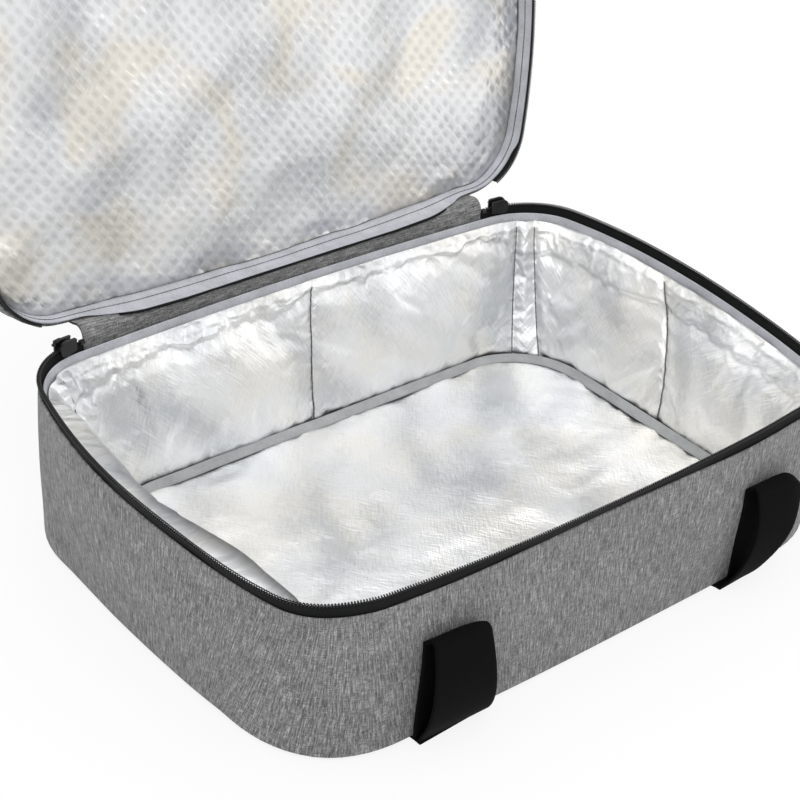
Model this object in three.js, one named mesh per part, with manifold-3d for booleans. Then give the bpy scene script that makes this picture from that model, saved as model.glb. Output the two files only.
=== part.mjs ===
import * as THREE from 'three';
import { mergeVertices } from 'three/addons/utils/BufferGeometryUtils.js';
import Module from 'manifold-3d';

// Insulated casserole carrier: a soft fabric tub with a zipped cap lid, foil lining and two webbing
// handles. Millimetres, +Z up. The origin is the middle of the base, on the surface it stands on.
// The front is -Y, the hinge is along the back, and the lid stands open.

const wasm = await Module();
wasm.setup();

// Outline of the rim, and how far the wall draws in on each side down to the base
const rimLength = 420;
const rimWidth = 289;
const rimCorner = 45;
const rimBowLong = 4.5;
const rimBowShort = 12;
const endTaper = 7;
const sideTaper = 1.5;
const baseCorner = 64;

// Heights of the body's fabric wall and of the zip tape that shows above it
const wallHeight = 91;
const tapeShow = 7.5;

// Cloth and the gap that every two sewn pieces keep
const clothThickness = 1.4;
const seamGap = 0.3;

// Base: outer panel with the prints of the tucked handles, foam, foil floor
const basePanelThickness = 2.6;
const baseFoamThickness = 3;
const floorThickness = 1;
const floorEndMargin = 28.5;
const floorSideMargin = 35;
const floorCorner = 51.5;
const floorTapeWidth = 6;
const floorTapeThickness = 1.5;

// Wall lining and the foam pads behind it
const liningThickness = 1.2;
const liningTuck = 5;
const cornerStripWidth = 18;
const padDrop = 7;
const padThickness = 12;
const padSeam = 6;
const padCornerClearance = 16;

// Rim tape inside the zip
const rimTapeThickness = 1;
const rimTapeWidth = 11;

// Zip: tape, coil and the ends beside the fabric hinge
const tapeThickness = 0.9;
const tapeTuck = 6;
const coilHeight = 1.8;
const coilThickness = 2.4;
const coilGap = 1.2;
const hingeEndMargin = 63;
const stopLength = 2.8;
const stopThickness = 3;

// Lid, measured from the zip's middle plane to its outer face
const lidDepth = 22;
const lidFoamThickness = 5;
const lidLiningThickness = 1.2;
const facingThickness = 0.8;
const lidOpenAngle = THREE.MathUtils.degToRad(100.65);

// Webbing: sewn straps, free handle legs and the grips under the base
const webbingWidth = 38;
const webbingThickness = 1.5;
const strapSpacing = 229.2;
const strapTop = 58;
const foldRadius = 4.5;
const legBulge = 5;
const legHandleShare = 1 / 3;
const leftLegDrift = -8;
const rightLegDrift = -26;
const tuckDepth = 77;
const gripCorner = 42;
const gripLift = 0.2;
const printClearance = 0.5;
const printHeadroom = 0.25;

// Zip slider
const sliderLength = 12;
const sliderWidth = 9.2;
const sliderTail = 7.4;
const plateThickness = 1.2;
const channelHalf = 2;
const slotHalf = 1.2;
const lipWidth = 1;
const wedgeThickness = 0.6;
const wedgeLength = 3.5;
const wedgeInset = 1;
const barThickness = 1.2;
const postThickness = 1.2;
const postSpacing = 6.4;
const ringRadius = 2.3;
const ringHole = 1.15;
const ringWidth = 3.6;
const parkedAngle = THREE.MathUtils.degToRad(13);
const nosePlay = 2;
const sliderClearance = 0.5;

// Pull tab
const pullLength = 28;
const pullWidth = 7;
const pullThickness = 1.4;
const pullHole = 1.6;
const pullHoleLength = 8;
const pullShoulder = 9.3;

// One overrun for every cut
const overrun = 4;

// How an outline is divided: a quarter runs from the middle of a long side, round a corner, to the
// middle of a short side, and these shares of it end the long side and the corner
const longShare = 0.4;
const cornerShare = 0.7;
const stationMargin = 1e-4;
const longSteps = 6;
const cornerSteps = 9;
const shortSteps = 5;
const wallSteps = 3;
const foldSteps = 8;
const legSteps = 10;
const bendSteps = 10;

const baseLength = rimLength - 2 * endTaper;
const baseWidth = rimWidth - 2 * sideTaper;
const floorLength = baseLength - 2 * floorEndMargin;
const floorWidth = baseWidth - 2 * floorSideMargin;
const hingeLength = rimLength - 2 * hingeEndMargin;
const zipPlane = wallHeight + tapeShow + coilGap / 2;
const tapeInset = clothThickness + seamGap;
const coilInset = tapeInset + (tapeThickness - coilThickness) / 2;
const sliderReach = sliderWidth / 2 + sliderClearance;
const rimTapeInset = tapeInset + tapeThickness + seamGap;
const rimTapeHigh = zipPlane - sliderReach;
const rimTapeLow = rimTapeHigh - rimTapeWidth;
const liningHeight = rimTapeLow + liningTuck;
const padHeight = rimTapeLow - padDrop;
const liningInset = rimTapeInset + rimTapeThickness + seamGap;
const floorLow = basePanelThickness + seamGap + baseFoamThickness + seamGap;
const floorTop = floorLow + floorThickness;

const baseOutline = {
  length: baseLength, width: baseWidth, corner: baseCorner, bowLong: 0, bowShort: 0,
};
const rimOutline = {
  length: rimLength, width: rimWidth, corner: rimCorner, bowLong: rimBowLong, bowShort: rimBowShort,
};
const floorOutline = {
  length: floorLength, width: floorWidth, corner: floorCorner, bowLong: 0, bowShort: 0,
};

// Materials
function cloth(color) {
  return new THREE.MeshStandardMaterial({ color, roughness: 0.9, metalness: 0 });
}

const heather = cloth(0x7d7e7e);
const blackTape = cloth(0x1e1f1f);
const greyTape = cloth(0xbebec6);
const floorTapeGrey = cloth(0xa5a7a8);
const webbing = cloth(0x181919);
const foam = cloth(0xf1f1ec);
const foil = new THREE.MeshStandardMaterial({ color: 0xdcdddd, roughness: 0.35, metalness: 0.75 });
const coilPlastic = new THREE.MeshStandardMaterial({ color: 0x1b1b1c, roughness: 0.5, metalness: 0 });
const sliderMetal = new THREE.MeshStandardMaterial({ color: 0x222324, roughness: 0.4, metalness: 0.6 });

// A bowed side is an arc tangent to the corners: how far its centre lies from a corner's centre,
// and the angle that half of it turns
function bowedSide(half, bow) {
  if (bow === 0) {
    return { reach: 0, turn: 0 };
  }
  const reach = (half * half + bow * bow) / (2 * bow);
  return { reach, turn: Math.asin(half / reach) };
}

// Centre of the corner arc, and the two bowed sides beside it
function cornerOf(outline) {
  const x = outline.length / 2 - outline.bowShort - outline.corner;
  const y = outline.width / 2 - outline.bowLong - outline.corner;
  return { x, y, long: bowedSide(x, outline.bowLong), short: bowedSide(y, outline.bowShort) };
}

function mixOutlines(low, high, share) {
  const mixed = {};
  for (const key of Object.keys(low)) {
    mixed[key] = THREE.MathUtils.lerp(low[key], high[key], share);
  }
  return mixed;
}

function insetOutline(outline, inset) {
  const { length, width, corner } = outline;
  return { ...outline, length: length - 2 * inset, width: width - 2 * inset, corner: corner - inset };
}

// A point of the outline. Station 0 is the middle of the front, 1 the right, 2 the back, 3 the left
function outlinePoint(outline, inset, station) {
  const quarter = THREE.MathUtils.euclideanModulo(Math.floor(station), 4);
  const along = station - Math.floor(station);
  const share = quarter % 2 === 0 ? along : 1 - along;
  const { x: cornerX, y: cornerY, long, short } = cornerOf(outline);
  const radius = outline.corner - inset;
  const point = new THREE.Vector2();
  if (share < longShare) {
    const part = share / longShare;
    const turn = long.turn * part;
    const sag = outline.bowLong - long.reach * (1 - Math.cos(turn));
    point.x = long.turn === 0 ? cornerX * part : (long.reach + radius) * Math.sin(turn);
    point.y = cornerY + radius * Math.cos(turn) + sag;
  } else if (share <= cornerShare) {
    const part = (share - longShare) / (cornerShare - longShare);
    const turn = THREE.MathUtils.lerp(long.turn, Math.PI / 2 - short.turn, part);
    point.x = cornerX + radius * Math.sin(turn);
    point.y = cornerY + radius * Math.cos(turn);
  } else {
    const part = (1 - share) / (1 - cornerShare);
    const turn = short.turn * part;
    const sag = outline.bowShort - short.reach * (1 - Math.cos(turn));
    point.x = cornerX + radius * Math.cos(turn) + sag;
    point.y = short.turn === 0 ? cornerY * part : (short.reach + radius) * Math.sin(turn);
  }
  point.x *= quarter < 2 ? 1 : -1;
  point.y *= quarter === 1 || quarter === 2 ? 1 : -1;
  return point;
}

// Shares of a quarter at which an outline has its points
function quarterShares() {
  const shares = [];
  for (let i = 0; i < longSteps; i++) {
    shares.push((longShare * i) / longSteps);
  }
  for (let i = 0; i < cornerSteps; i++) {
    shares.push(THREE.MathUtils.lerp(longShare, cornerShare, i / cornerSteps));
  }
  for (let i = 0; i <= shortSteps; i++) {
    shares.push(THREE.MathUtils.lerp(cornerShare, 1, i / shortSteps));
  }
  return shares;
}

// Stations from start to end, with the outline's own points between them
function stationsBetween(start, end) {
  const inner = [];
  for (let quarter = Math.floor(start); quarter < end; quarter++) {
    const isEven = THREE.MathUtils.euclideanModulo(quarter, 2) === 0;
    for (const share of quarterShares()) {
      inner.push(isEven ? quarter + share : quarter + 1 - share);
    }
  }
  const kept = [...new Set(inner)].filter((s) => s > start + stationMargin && s < end - stationMargin);
  kept.sort((a, b) => a - b);
  return [start, ...kept, end];
}

function ringStations() {
  return stationsBetween(0, 4).slice(0, -1);
}

// Station on the back's right half of a place x from the middle, or of an angle round the corner
function backStation(outline, x) {
  return 2 - (longShare * x) / cornerOf(outline).x;
}

function backCornerStation(outline, angle) {
  const { long, short } = cornerOf(outline);
  const part = (angle - long.turn) / (Math.PI / 2 - long.turn - short.turn);
  return 2 - THREE.MathUtils.lerp(longShare, cornerShare, part);
}

// Faces outward whichever way the rings were listed
function facingOut(geometry) {
  const position = geometry.getAttribute('position');
  const index = geometry.getIndex();
  const corners = [new THREE.Vector3(), new THREE.Vector3(), new THREE.Vector3()];
  let volume = 0;
  for (let i = 0; i < index.count; i += 3) {
    corners.forEach((corner, j) => corner.fromBufferAttribute(position, index.getX(i + j)));
    volume += corners[0].dot(corners[1].clone().cross(corners[2]));
  }
  if (volume < 0) {
    for (let i = 0; i < index.count; i += 3) {
      const swap = index.getX(i + 1);
      index.setX(i + 1, index.getX(i + 2));
      index.setX(i + 2, swap);
    }
  }
  return geometry;
}

// A solid skinned over rings of points that all repeat one flat section
function skinnedSolid(rings, section, closed) {
  const size = section.length;
  const positions = [];
  const indices = [];
  for (const ring of rings) {
    for (const point of ring) {
      positions.push(point.x, point.y, point.z);
    }
  }
  const spans = closed ? rings.length : rings.length - 1;
  for (let i = 0; i < spans; i++) {
    const here = i * size;
    const next = ((i + 1) % rings.length) * size;
    for (let j = 0; j < size; j++) {
      const k = (j + 1) % size;
      indices.push(here + j, here + k, next + k, here + j, next + k, next + j);
    }
  }
  if (!closed) {
    const last = (rings.length - 1) * size;
    const anticlockwise = !THREE.ShapeUtils.isClockWise(section);
    for (const [a, b, c] of THREE.ShapeUtils.triangulateShape(section, [])) {
      const face = anticlockwise ? [a, c, b] : [a, b, c];
      indices.push(...face);
      indices.push(last + face[0], last + face[2], last + face[1]);
    }
  }
  const geometry = new THREE.BufferGeometry();
  geometry.setAttribute('position', new THREE.Float32BufferAttribute(positions, 3));
  geometry.setIndex(indices);
  return facingOut(geometry);
}

// A solid that follows an outline; the section lists { outline, inset, z } round its edge
function outlineSolid(stations, section, closed) {
  const rings = stations.map((station) => section.map(({ outline, inset, z }) => {
    const point = outlinePoint(outline, inset, station);
    return new THREE.Vector3(point.x, point.y, z);
  }));
  const flat = section.map(({ outline, inset, z }) => new THREE.Vector2(outline.width / 2 - inset, z));
  return skinnedSolid(rings, flat, closed);
}

// Section of an upright band between two insets of one outline
function bandSection(outline, outerInset, innerInset, low, high) {
  return [
    { outline, inset: outerInset, z: low },
    { outline, inset: outerInset, z: high },
    { outline, inset: innerInset, z: high },
    { outline, inset: innerInset, z: low },
  ];
}

// Section of a leaning wall, whose outline changes with the height
function wallSection(levels, outlineAt, thickness) {
  const outer = [];
  const inner = [];
  for (const z of levels) {
    outer.push({ outline: outlineAt(z), inset: 0, z });
    inner.unshift({ outline: outlineAt(z), inset: thickness, z });
  }
  return [...outer, ...inner];
}

function levelsBetween(low, high) {
  const levels = [];
  for (let i = 0; i <= wallSteps; i++) {
    levels.push(THREE.MathUtils.lerp(low, high, i / wallSteps));
  }
  return levels;
}

// The wall widens from the base up to the tucked tape, and is upright from there
function bodyOutline(z) {
  return mixOutlines(baseOutline, rimOutline, Math.min(z / (wallHeight - tapeTuck), 1));
}

// Outer face of the lining, which leans from the floor's edge out to the rim tape
function liningOutline(z) {
  const foot = insetOutline(floorOutline, -liningThickness);
  const head = insetOutline(rimOutline, liningInset);
  return mixOutlines(foot, head, (z - floorLow) / (liningHeight - floorLow));
}

// A flat slab inside an outline
function slab(outline, inset, thickness) {
  const points = ringStations().map((station) => outlinePoint(outline, inset, station));
  return new THREE.ExtrudeGeometry(new THREE.Shape(points), { depth: thickness, bevelEnabled: false });
}

// Flat webbing along a path across X: the width lies along X, the thickness square to the path
function ribbon(path, width, thickness) {
  const rings = path.map((point, i) => {
    const before = path[Math.max(i - 1, 0)];
    const after = path[Math.min(i + 1, path.length - 1)];
    const along = new THREE.Vector2(after.y - before.y, after.z - before.z).normalize();
    const side = new THREE.Vector3(width / 2, 0, 0);
    const normal = new THREE.Vector3(0, -along.y, along.x).multiplyScalar(thickness / 2);
    return [
      point.clone().sub(side).sub(normal),
      point.clone().add(side).sub(normal),
      point.clone().add(side).add(normal),
      point.clone().sub(side).add(normal),
    ];
  });
  const section = [
    new THREE.Vector2(-width, -thickness),
    new THREE.Vector2(width, -thickness),
    new THREE.Vector2(width, thickness),
    new THREE.Vector2(-width, thickness),
  ];
  return skinnedSolid(rings, section, false);
}

// Flat webbing lying on the ground along a path in X and Y
function flatBand(path, width, thickness) {
  const left = [];
  const right = [];
  path.forEach((point, i) => {
    const before = path[Math.max(i - 1, 0)];
    const after = path[Math.min(i + 1, path.length - 1)];
    const along = after.clone().sub(before).normalize();
    const side = new THREE.Vector2(-along.y, along.x).multiplyScalar(width / 2);
    left.push(point.clone().add(side));
    right.unshift(point.clone().sub(side));
  });
  const shape = new THREE.Shape([...left, ...right]);
  return new THREE.ExtrudeGeometry(shape, { depth: thickness, bevelEnabled: false });
}

// Extrusions whose length runs along X or Y, centred; the shape's axes are then Y, Z or Z, X
function extrudedAlong(axis, shape, length) {
  const geometry = new THREE.ExtrudeGeometry(shape, { depth: length, bevelEnabled: false });
  geometry.translate(0, 0, -length / 2);
  const unit = [new THREE.Vector3(1, 0, 0), new THREE.Vector3(0, 1, 0), new THREE.Vector3(0, 0, 1)];
  const first = axis === 'x' ? 1 : 2;
  const basis = [unit[first], unit[(first + 1) % 3], unit[(first + 2) % 3]];
  return geometry.applyMatrix4(new THREE.Matrix4().makeBasis(...basis));
}

// Booleans
function toSolid(geometry) {
  const bare = geometry.clone();
  bare.deleteAttribute('normal');
  bare.deleteAttribute('uv');
  const merged = mergeVertices(bare);
  return new wasm.Manifold(new wasm.Mesh({
    numProp: 3,
    vertProperties: new Float32Array(merged.getAttribute('position').array),
    triVerts: new Uint32Array(merged.getIndex().array),
  }));
}

function toGeometry(solid) {
  const { vertProperties, triVerts } = solid.getMesh();
  const geometry = new THREE.BufferGeometry();
  geometry.setAttribute('position', new THREE.BufferAttribute(new Float32Array(vertProperties), 3));
  geometry.setIndex(new THREE.BufferAttribute(new Uint32Array(triVerts), 1));
  return geometry;
}

function named(name, geometry, material) {
  const mesh = new THREE.Mesh(geometry, material);
  mesh.name = name;
  return mesh;
}

// Outer wall and hinge leaf of the body
function outerWall() {
  const levels = [...levelsBetween(basePanelThickness + seamGap, wallHeight - tapeTuck), wallHeight];
  const section = wallSection(levels, bodyOutline, clothThickness);
  return named('outer_wall', outlineSolid(ringStations(), section, true), heather);
}

function hingeLeaf(name, low, high) {
  const end = backStation(rimOutline, hingeLength / 2);
  const section = bandSection(rimOutline, 0, clothThickness, low, high);
  return named(name, outlineSolid(stationsBetween(end, 4 - end), section, false), heather);
}

// Handles: the loop's path under the base, from one leg to the other, at the front or the back
const wallDepth = baseWidth / 2;
const strapDepth = wallDepth + seamGap + webbingThickness / 2;
const foldDepth = strapDepth + webbingThickness / 2 + seamGap + webbingThickness / 2 + foldRadius;
const tuckPoint = strapDepth + webbingThickness / 2 + seamGap + webbingThickness;
const gripMiddle = gripLift + webbingThickness / 2;
const legs = [
  { side: 'left', top: -strapSpacing / 2, bottom: -strapSpacing / 2 + leftLegDrift },
  { side: 'right', top: strapSpacing / 2, bottom: strapSpacing / 2 + rightLegDrift },
];

function gripPath(face, start) {
  const [left, right] = legs;
  const inner = tuckPoint - tuckDepth;
  const points = [new THREE.Vector2(left.bottom, face * start)];
  for (let i = 0; i <= bendSteps; i++) {
    const turn = (Math.PI / 2) * (i / bendSteps);
    const x = left.bottom + gripCorner * (1 - Math.cos(turn));
    const y = inner + gripCorner * (1 - Math.sin(turn));
    points.push(new THREE.Vector2(x, face * y));
  }
  for (let i = bendSteps; i >= 0; i--) {
    const turn = (Math.PI / 2) * (i / bendSteps);
    const x = right.bottom - gripCorner * (1 - Math.cos(turn));
    const y = inner + gripCorner * (1 - Math.sin(turn));
    points.push(new THREE.Vector2(x, face * y));
  }
  points.push(new THREE.Vector2(right.bottom, face * start));
  return points;
}

function sewnStrap(name, x, face) {
  const path = [basePanelThickness + seamGap, strapTop].map((z) => (
    new THREE.Vector3(x, face * strapDepth, z)
  ));
  return named(name, ribbon(path, webbingWidth, webbingThickness), webbing);
}

// Fold at the top of the strap, then down in a bulge to the turn under the base's edge
function handleLeg(name, leg, face) {
  const places = [];
  for (let i = 0; i < foldSteps; i++) {
    const turn = Math.PI * (i / foldSteps);
    places.push([foldDepth - foldRadius * Math.cos(turn), strapTop + foldRadius * Math.sin(turn)]);
  }
  const outside = foldDepth + foldRadius;
  const drop = strapTop - gripMiddle;
  const curve = new THREE.CubicBezierCurve(
    new THREE.Vector2(outside, strapTop),
    new THREE.Vector2(outside + legBulge, strapTop - drop * legHandleShare),
    new THREE.Vector2(outside, gripMiddle + drop * legHandleShare),
    new THREE.Vector2(tuckPoint, gripMiddle),
  );
  for (const place of curve.getPoints(legSteps)) {
    places.push([place.x, place.y]);
  }
  const path = places.map(([y, z]) => {
    const share = THREE.MathUtils.clamp((strapTop - z) / drop, 0, 1);
    return new THREE.Vector3(THREE.MathUtils.lerp(leg.top, leg.bottom, share), face * y, z);
  });
  return named(name, ribbon(path, webbingWidth, webbingThickness), webbing);
}

function grip(name, face) {
  const start = tuckPoint - webbingThickness / 2 - seamGap;
  const mesh = named(name, flatBand(gripPath(face, start), webbingWidth, webbingThickness), webbing);
  mesh.position.z = gripLift;
  return mesh;
}

function handle(end, face) {
  const group = new THREE.Group();
  for (const leg of legs) {
    group.add(sewnStrap(`strap_${end}_${leg.side}`, leg.top, face));
    group.add(handleLeg(`handle_leg_${end}_${leg.side}`, leg, face));
  }
  group.add(grip(`handle_grip_${end}`, face));
  return group;
}

// Base panel with the shallow prints that the tucked handles press into it
function basePanel() {
  let solid = toSolid(slab(baseOutline, 0, basePanelThickness));
  const depth = gripLift + webbingThickness + printHeadroom;
  for (const face of [-1, 1]) {
    const path = gripPath(face, tuckPoint + overrun);
    const print = flatBand(path, webbingWidth + 2 * printClearance, depth + overrun);
    solid = solid.subtract(toSolid(print.translate(0, 0, -overrun)));
  }
  return named('base_panel', toGeometry(solid), heather);
}

function baseFoam() {
  const inset = clothThickness + 2 * seamGap;
  const mesh = named('base_foam', slab(baseOutline, inset, baseFoamThickness), foam);
  mesh.position.z = basePanelThickness + seamGap;
  return mesh;
}

function foilFloor() {
  const mesh = named('foil_floor', slab(floorOutline, seamGap, floorThickness), foil);
  mesh.position.z = floorLow;
  return mesh;
}

function floorTape() {
  const low = floorTop + seamGap;
  const section = bandSection(floorOutline, seamGap, floorTapeWidth, low, low + floorTapeThickness);
  return named('floor_tape', outlineSolid(ringStations(), section, true), floorTapeGrey);
}

// The four walls: the station of each middle, where its seam lies beside it, and its panels' sides
const { x: floorCornerX, y: floorCornerY } = cornerOf(floorOutline);
const longRate = longShare / floorCornerX;
const shortRate = (1 - cornerShare) / floorCornerY;
const cornerRate = (cornerShare - longShare) / (floorCorner * Math.PI / 2);
const cornerMiddle = (longShare + cornerShare) / 2;
const walls = [
  { name: 'front', middle: 0, rate: longRate, straight: floorCornerX, sides: ['left', 'right'] },
  { name: 'right', middle: 1, rate: shortRate, straight: floorCornerY, sides: ['front', 'back'] },
  { name: 'back', middle: 2, rate: longRate, straight: floorCornerX, sides: ['right', 'left'] },
  { name: 'left', middle: 3, rate: shortRate, straight: floorCornerY, sides: ['back', 'front'] },
];
const corners = [
  { name: 'front_right', middle: cornerMiddle },
  { name: 'back_right', middle: 2 - cornerMiddle },
  { name: 'back_left', middle: 2 + cornerMiddle },
  { name: 'front_left', middle: 4 - cornerMiddle },
];

// Foil wall lining in its sewn panels, two in each wall and a narrow strip in each corner, from the
// floor's seam out to the rim tape
function foilWalls() {
  const group = new THREE.Group();
  const levels = [...levelsBetween(floorLow, padHeight), liningHeight];
  const section = wallSection(levels, liningOutline, liningThickness);
  const halfStrip = (cornerRate * cornerStripWidth) / 2;
  const cornerGap = cornerRate * 2 * seamGap;
  for (const { name, middle, rate, sides } of walls) {
    const seam = (rate * seamGap) / 2;
    const toCorner = middle % 2 === 0 ? cornerMiddle : 1 - cornerMiddle;
    const end = toCorner - halfStrip - cornerGap;
    const before = stationsBetween(middle - end, middle - seam);
    const after = stationsBetween(middle + seam, middle + end);
    group.add(named(`foil_${name}_${sides[0]}`, outlineSolid(before, section, false), foil));
    group.add(named(`foil_${name}_${sides[1]}`, outlineSolid(after, section, false), foil));
  }
  for (const { name, middle } of corners) {
    const stations = stationsBetween(middle - halfStrip, middle + halfStrip);
    group.add(named(`foil_corner_${name}`, outlineSolid(stations, section, false), foil));
  }
  return group;
}

// Two foam pads in each wall, between the lining's seams, with none in the corners
function wallPads() {
  const group = new THREE.Group();
  const footOuter = insetOutline(liningOutline(floorLow), -padThickness);
  const headOuter = insetOutline(bodyOutline(padHeight), clothThickness + 2 * seamGap);
  const levels = levelsBetween(floorLow, padHeight);
  const section = [
    { outline: footOuter, inset: 0, z: floorLow },
    { outline: headOuter, inset: 0, z: padHeight },
    ...levels.toReversed().map((z) => ({ outline: liningOutline(z), inset: -2 * seamGap, z })),
  ];
  for (const { name, middle, rate, straight, sides } of walls) {
    const seam = (rate * padSeam) / 2;
    const end = rate * (straight - padCornerClearance);
    const before = stationsBetween(middle - end, middle - seam);
    const after = stationsBetween(middle + seam, middle + end);
    group.add(named(`foam_${name}_${sides[0]}`, outlineSolid(before, section, false), foam));
    group.add(named(`foam_${name}_${sides[1]}`, outlineSolid(after, section, false), foam));
  }
  return group;
}

function rimTape() {
  const inner = rimTapeInset + rimTapeThickness;
  const section = bandSection(rimOutline, rimTapeInset, inner, rimTapeLow, rimTapeHigh);
  return named('rim_tape', outlineSolid(ringStations(), section, true), greyTape);
}

// Zip halves: one on the body and one on the lid, mirrored about the zip's middle plane
function zipTape(name, end, side) {
  const edge = zipPlane + side * (coilGap / 2 + coilHeight + seamGap);
  const tucked = zipPlane + side * (coilGap / 2 + tapeShow + tapeTuck);
  const low = Math.min(edge, tucked);
  const high = Math.max(edge, tucked);
  const section = bandSection(rimOutline, tapeInset, tapeInset + tapeThickness, low, high);
  return named(name, outlineSolid(stationsBetween(-end, end), section, false), blackTape);
}

function zipCoil(name, end, side) {
  const near = zipPlane + (side * coilGap) / 2;
  const far = near + side * coilHeight;
  const low = Math.min(near, far);
  const high = Math.max(near, far);
  const section = bandSection(rimOutline, coilInset, coilInset + coilThickness, low, high);
  return named(name, outlineSolid(stationsBetween(-end, end), section, false), coilPlastic);
}

function zipStop(name, side) {
  const outer = backStation(rimOutline, hingeLength / 2 + seamGap);
  const inner = backStation(rimOutline, hingeLength / 2 + seamGap + stopLength);
  const inset = tapeInset + (tapeThickness - stopThickness) / 2;
  const low = zipPlane - coilGap / 2 - coilHeight;
  const section = bandSection(rimOutline, inset, inset + stopThickness, low, zipPlane - coilGap / 2);
  const stations = side > 0 ? stationsBetween(inner, outer) : stationsBetween(4 - outer, 4 - inner);
  return named(name, outlineSolid(stations, section, false), coilPlastic);
}

function bodyZip() {
  const group = new THREE.Group();
  const coilEnd = hingeLength / 2 + stopLength + 2 * seamGap;
  group.add(zipTape('zip_tape_body', backStation(rimOutline, hingeLength / 2 + seamGap), -1));
  group.add(zipCoil('zip_coil_body', backStation(rimOutline, coilEnd), -1));
  group.add(zipStop('zip_stop_left', -1));
  group.add(zipStop('zip_stop_right', 1));
  return group;
}

// Slider, in its own frame: X along the zip, Y outward, Z up, with its middle on the zip's plane
const plateOuter = channelHalf + plateThickness;
const barDepth = plateOuter + seamGap + ringRadius;

function sliderPlate() {
  const half = sliderWidth / 2;
  const inner = half - lipWidth;
  return new THREE.Shape([
    new THREE.Vector2(plateOuter, -half),
    new THREE.Vector2(plateOuter, half),
    new THREE.Vector2(slotHalf, half),
    new THREE.Vector2(slotHalf, inner),
    new THREE.Vector2(channelHalf, inner),
    new THREE.Vector2(channelHalf, -inner),
    new THREE.Vector2(slotHalf, -inner),
    new THREE.Vector2(slotHalf, -half),
  ]);
}

// Plan of the slider: wide and rounded at the nose, narrowing to the tail
function sliderPlan(nose) {
  const half = sliderWidth / 2;
  const tail = sliderTail / 2;
  const front = (nose * sliderLength) / 2;
  const shoulder = front - nose * half;
  const shape = new THREE.Shape();
  shape.moveTo(-tail, -front);
  shape.lineTo(-half, shoulder);
  shape.quadraticCurveTo(-half, front, 0, front);
  shape.quadraticCurveTo(half, front, half, shoulder);
  shape.lineTo(tail, -front);
  return shape;
}

function rectangle(lowX, lowY, highX, highY) {
  return new THREE.Shape([
    new THREE.Vector2(lowX, lowY),
    new THREE.Vector2(highX, lowY),
    new THREE.Vector2(highX, highY),
    new THREE.Vector2(lowX, highY),
  ]);
}

function sliderGeometry(nose) {
  const plate = toSolid(extrudedAlong('x', sliderPlate(), sliderLength));
  const plates = plate.add(plate.rotate([0, 0, 180]));
  const plan = toSolid(extrudedAlong('y', sliderPlan(nose), 2 * (plateOuter + overrun)));
  const wedgeY = channelHalf + plateThickness / 2;
  const wedge = toSolid(extrudedAlong(
    'x', rectangle(-wedgeY, -wedgeThickness / 2, wedgeY, wedgeThickness / 2), wedgeLength,
  )).translate([nose * (sliderLength / 2 - wedgeInset - wedgeLength / 2), 0, 0]);
  const half = barThickness / 2;
  const bar = toSolid(extrudedAlong(
    'x', rectangle(barDepth - half, -half, barDepth + half, half), postSpacing + 2 * postThickness,
  ));
  const post = toSolid(extrudedAlong(
    'x', rectangle(plateOuter - plateThickness / 2, -half, barDepth + half, half), postThickness,
  ));
  const reach = (postSpacing + postThickness) / 2;
  return toGeometry(plates.intersect(plan).add(wedge).add(bar)
    .add(post.translate([reach, 0, 0])).add(post.translate([-reach, 0, 0])));
}

// Pull tab: a ring round the slider's bar and a flat tab hanging from it
function pullGeometry() {
  const ring = new THREE.Shape();
  ring.absarc(barDepth, 0, ringRadius, 0, 2 * Math.PI);
  const eye = new THREE.Shape();
  eye.absarc(barDepth, 0, ringHole, 0, 2 * Math.PI);
  const half = pullWidth / 2;
  const top = -(ringRadius + ringHole) / 2;
  const foot = top - pullLength;
  const tab = new THREE.Shape();
  tab.moveTo(top, -ringWidth / 2);
  tab.lineTo(top, ringWidth / 2);
  tab.quadraticCurveTo(top - half, half, top - pullShoulder, half);
  tab.lineTo(foot + half, half);
  tab.absarc(foot + half, 0, half, Math.PI / 2, (3 * Math.PI) / 2);
  tab.lineTo(top - pullShoulder, -half);
  tab.quadraticCurveTo(top - half, -half, top, -ringWidth / 2);
  const slotEnd = foot + half;
  const slot = new THREE.Shape();
  slot.absarc(slotEnd, 0, pullHole, Math.PI / 2, (3 * Math.PI) / 2);
  slot.absarc(slotEnd + pullHoleLength, 0, pullHole, -Math.PI / 2, Math.PI / 2);
  const eyeSolid = toSolid(extrudedAlong('x', eye, ringWidth + overrun));
  const ringSolid = toSolid(extrudedAlong('x', ring, ringWidth));
  const tabSolid = toSolid(extrudedAlong('y', tab, pullThickness)).translate([0, barDepth, 0]);
  const slotSolid = toSolid(extrudedAlong('y', slot, pullThickness + overrun));
  return toGeometry(ringSolid.add(tabSolid).subtract(eyeSolid)
    .subtract(slotSolid.translate([0, barDepth, 0])));
}

// The slider parked past the hinge's end, turned with the zip round the corner's centre
function parkedSlider(name, side) {
  const group = new THREE.Group();
  const { x, y } = cornerOf(rimOutline);
  const turn = -side * parkedAngle;
  const radius = rimCorner - tapeInset - tapeThickness / 2;
  group.position.set(side * x - radius * Math.sin(turn), y + radius * Math.cos(turn), zipPlane);
  group.rotation.z = turn;
  group.add(named(`slider_${name}`, sliderGeometry(side), sliderMetal));
  group.add(named(`pull_${name}`, pullGeometry(), sliderMetal));
  return group;
}

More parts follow.
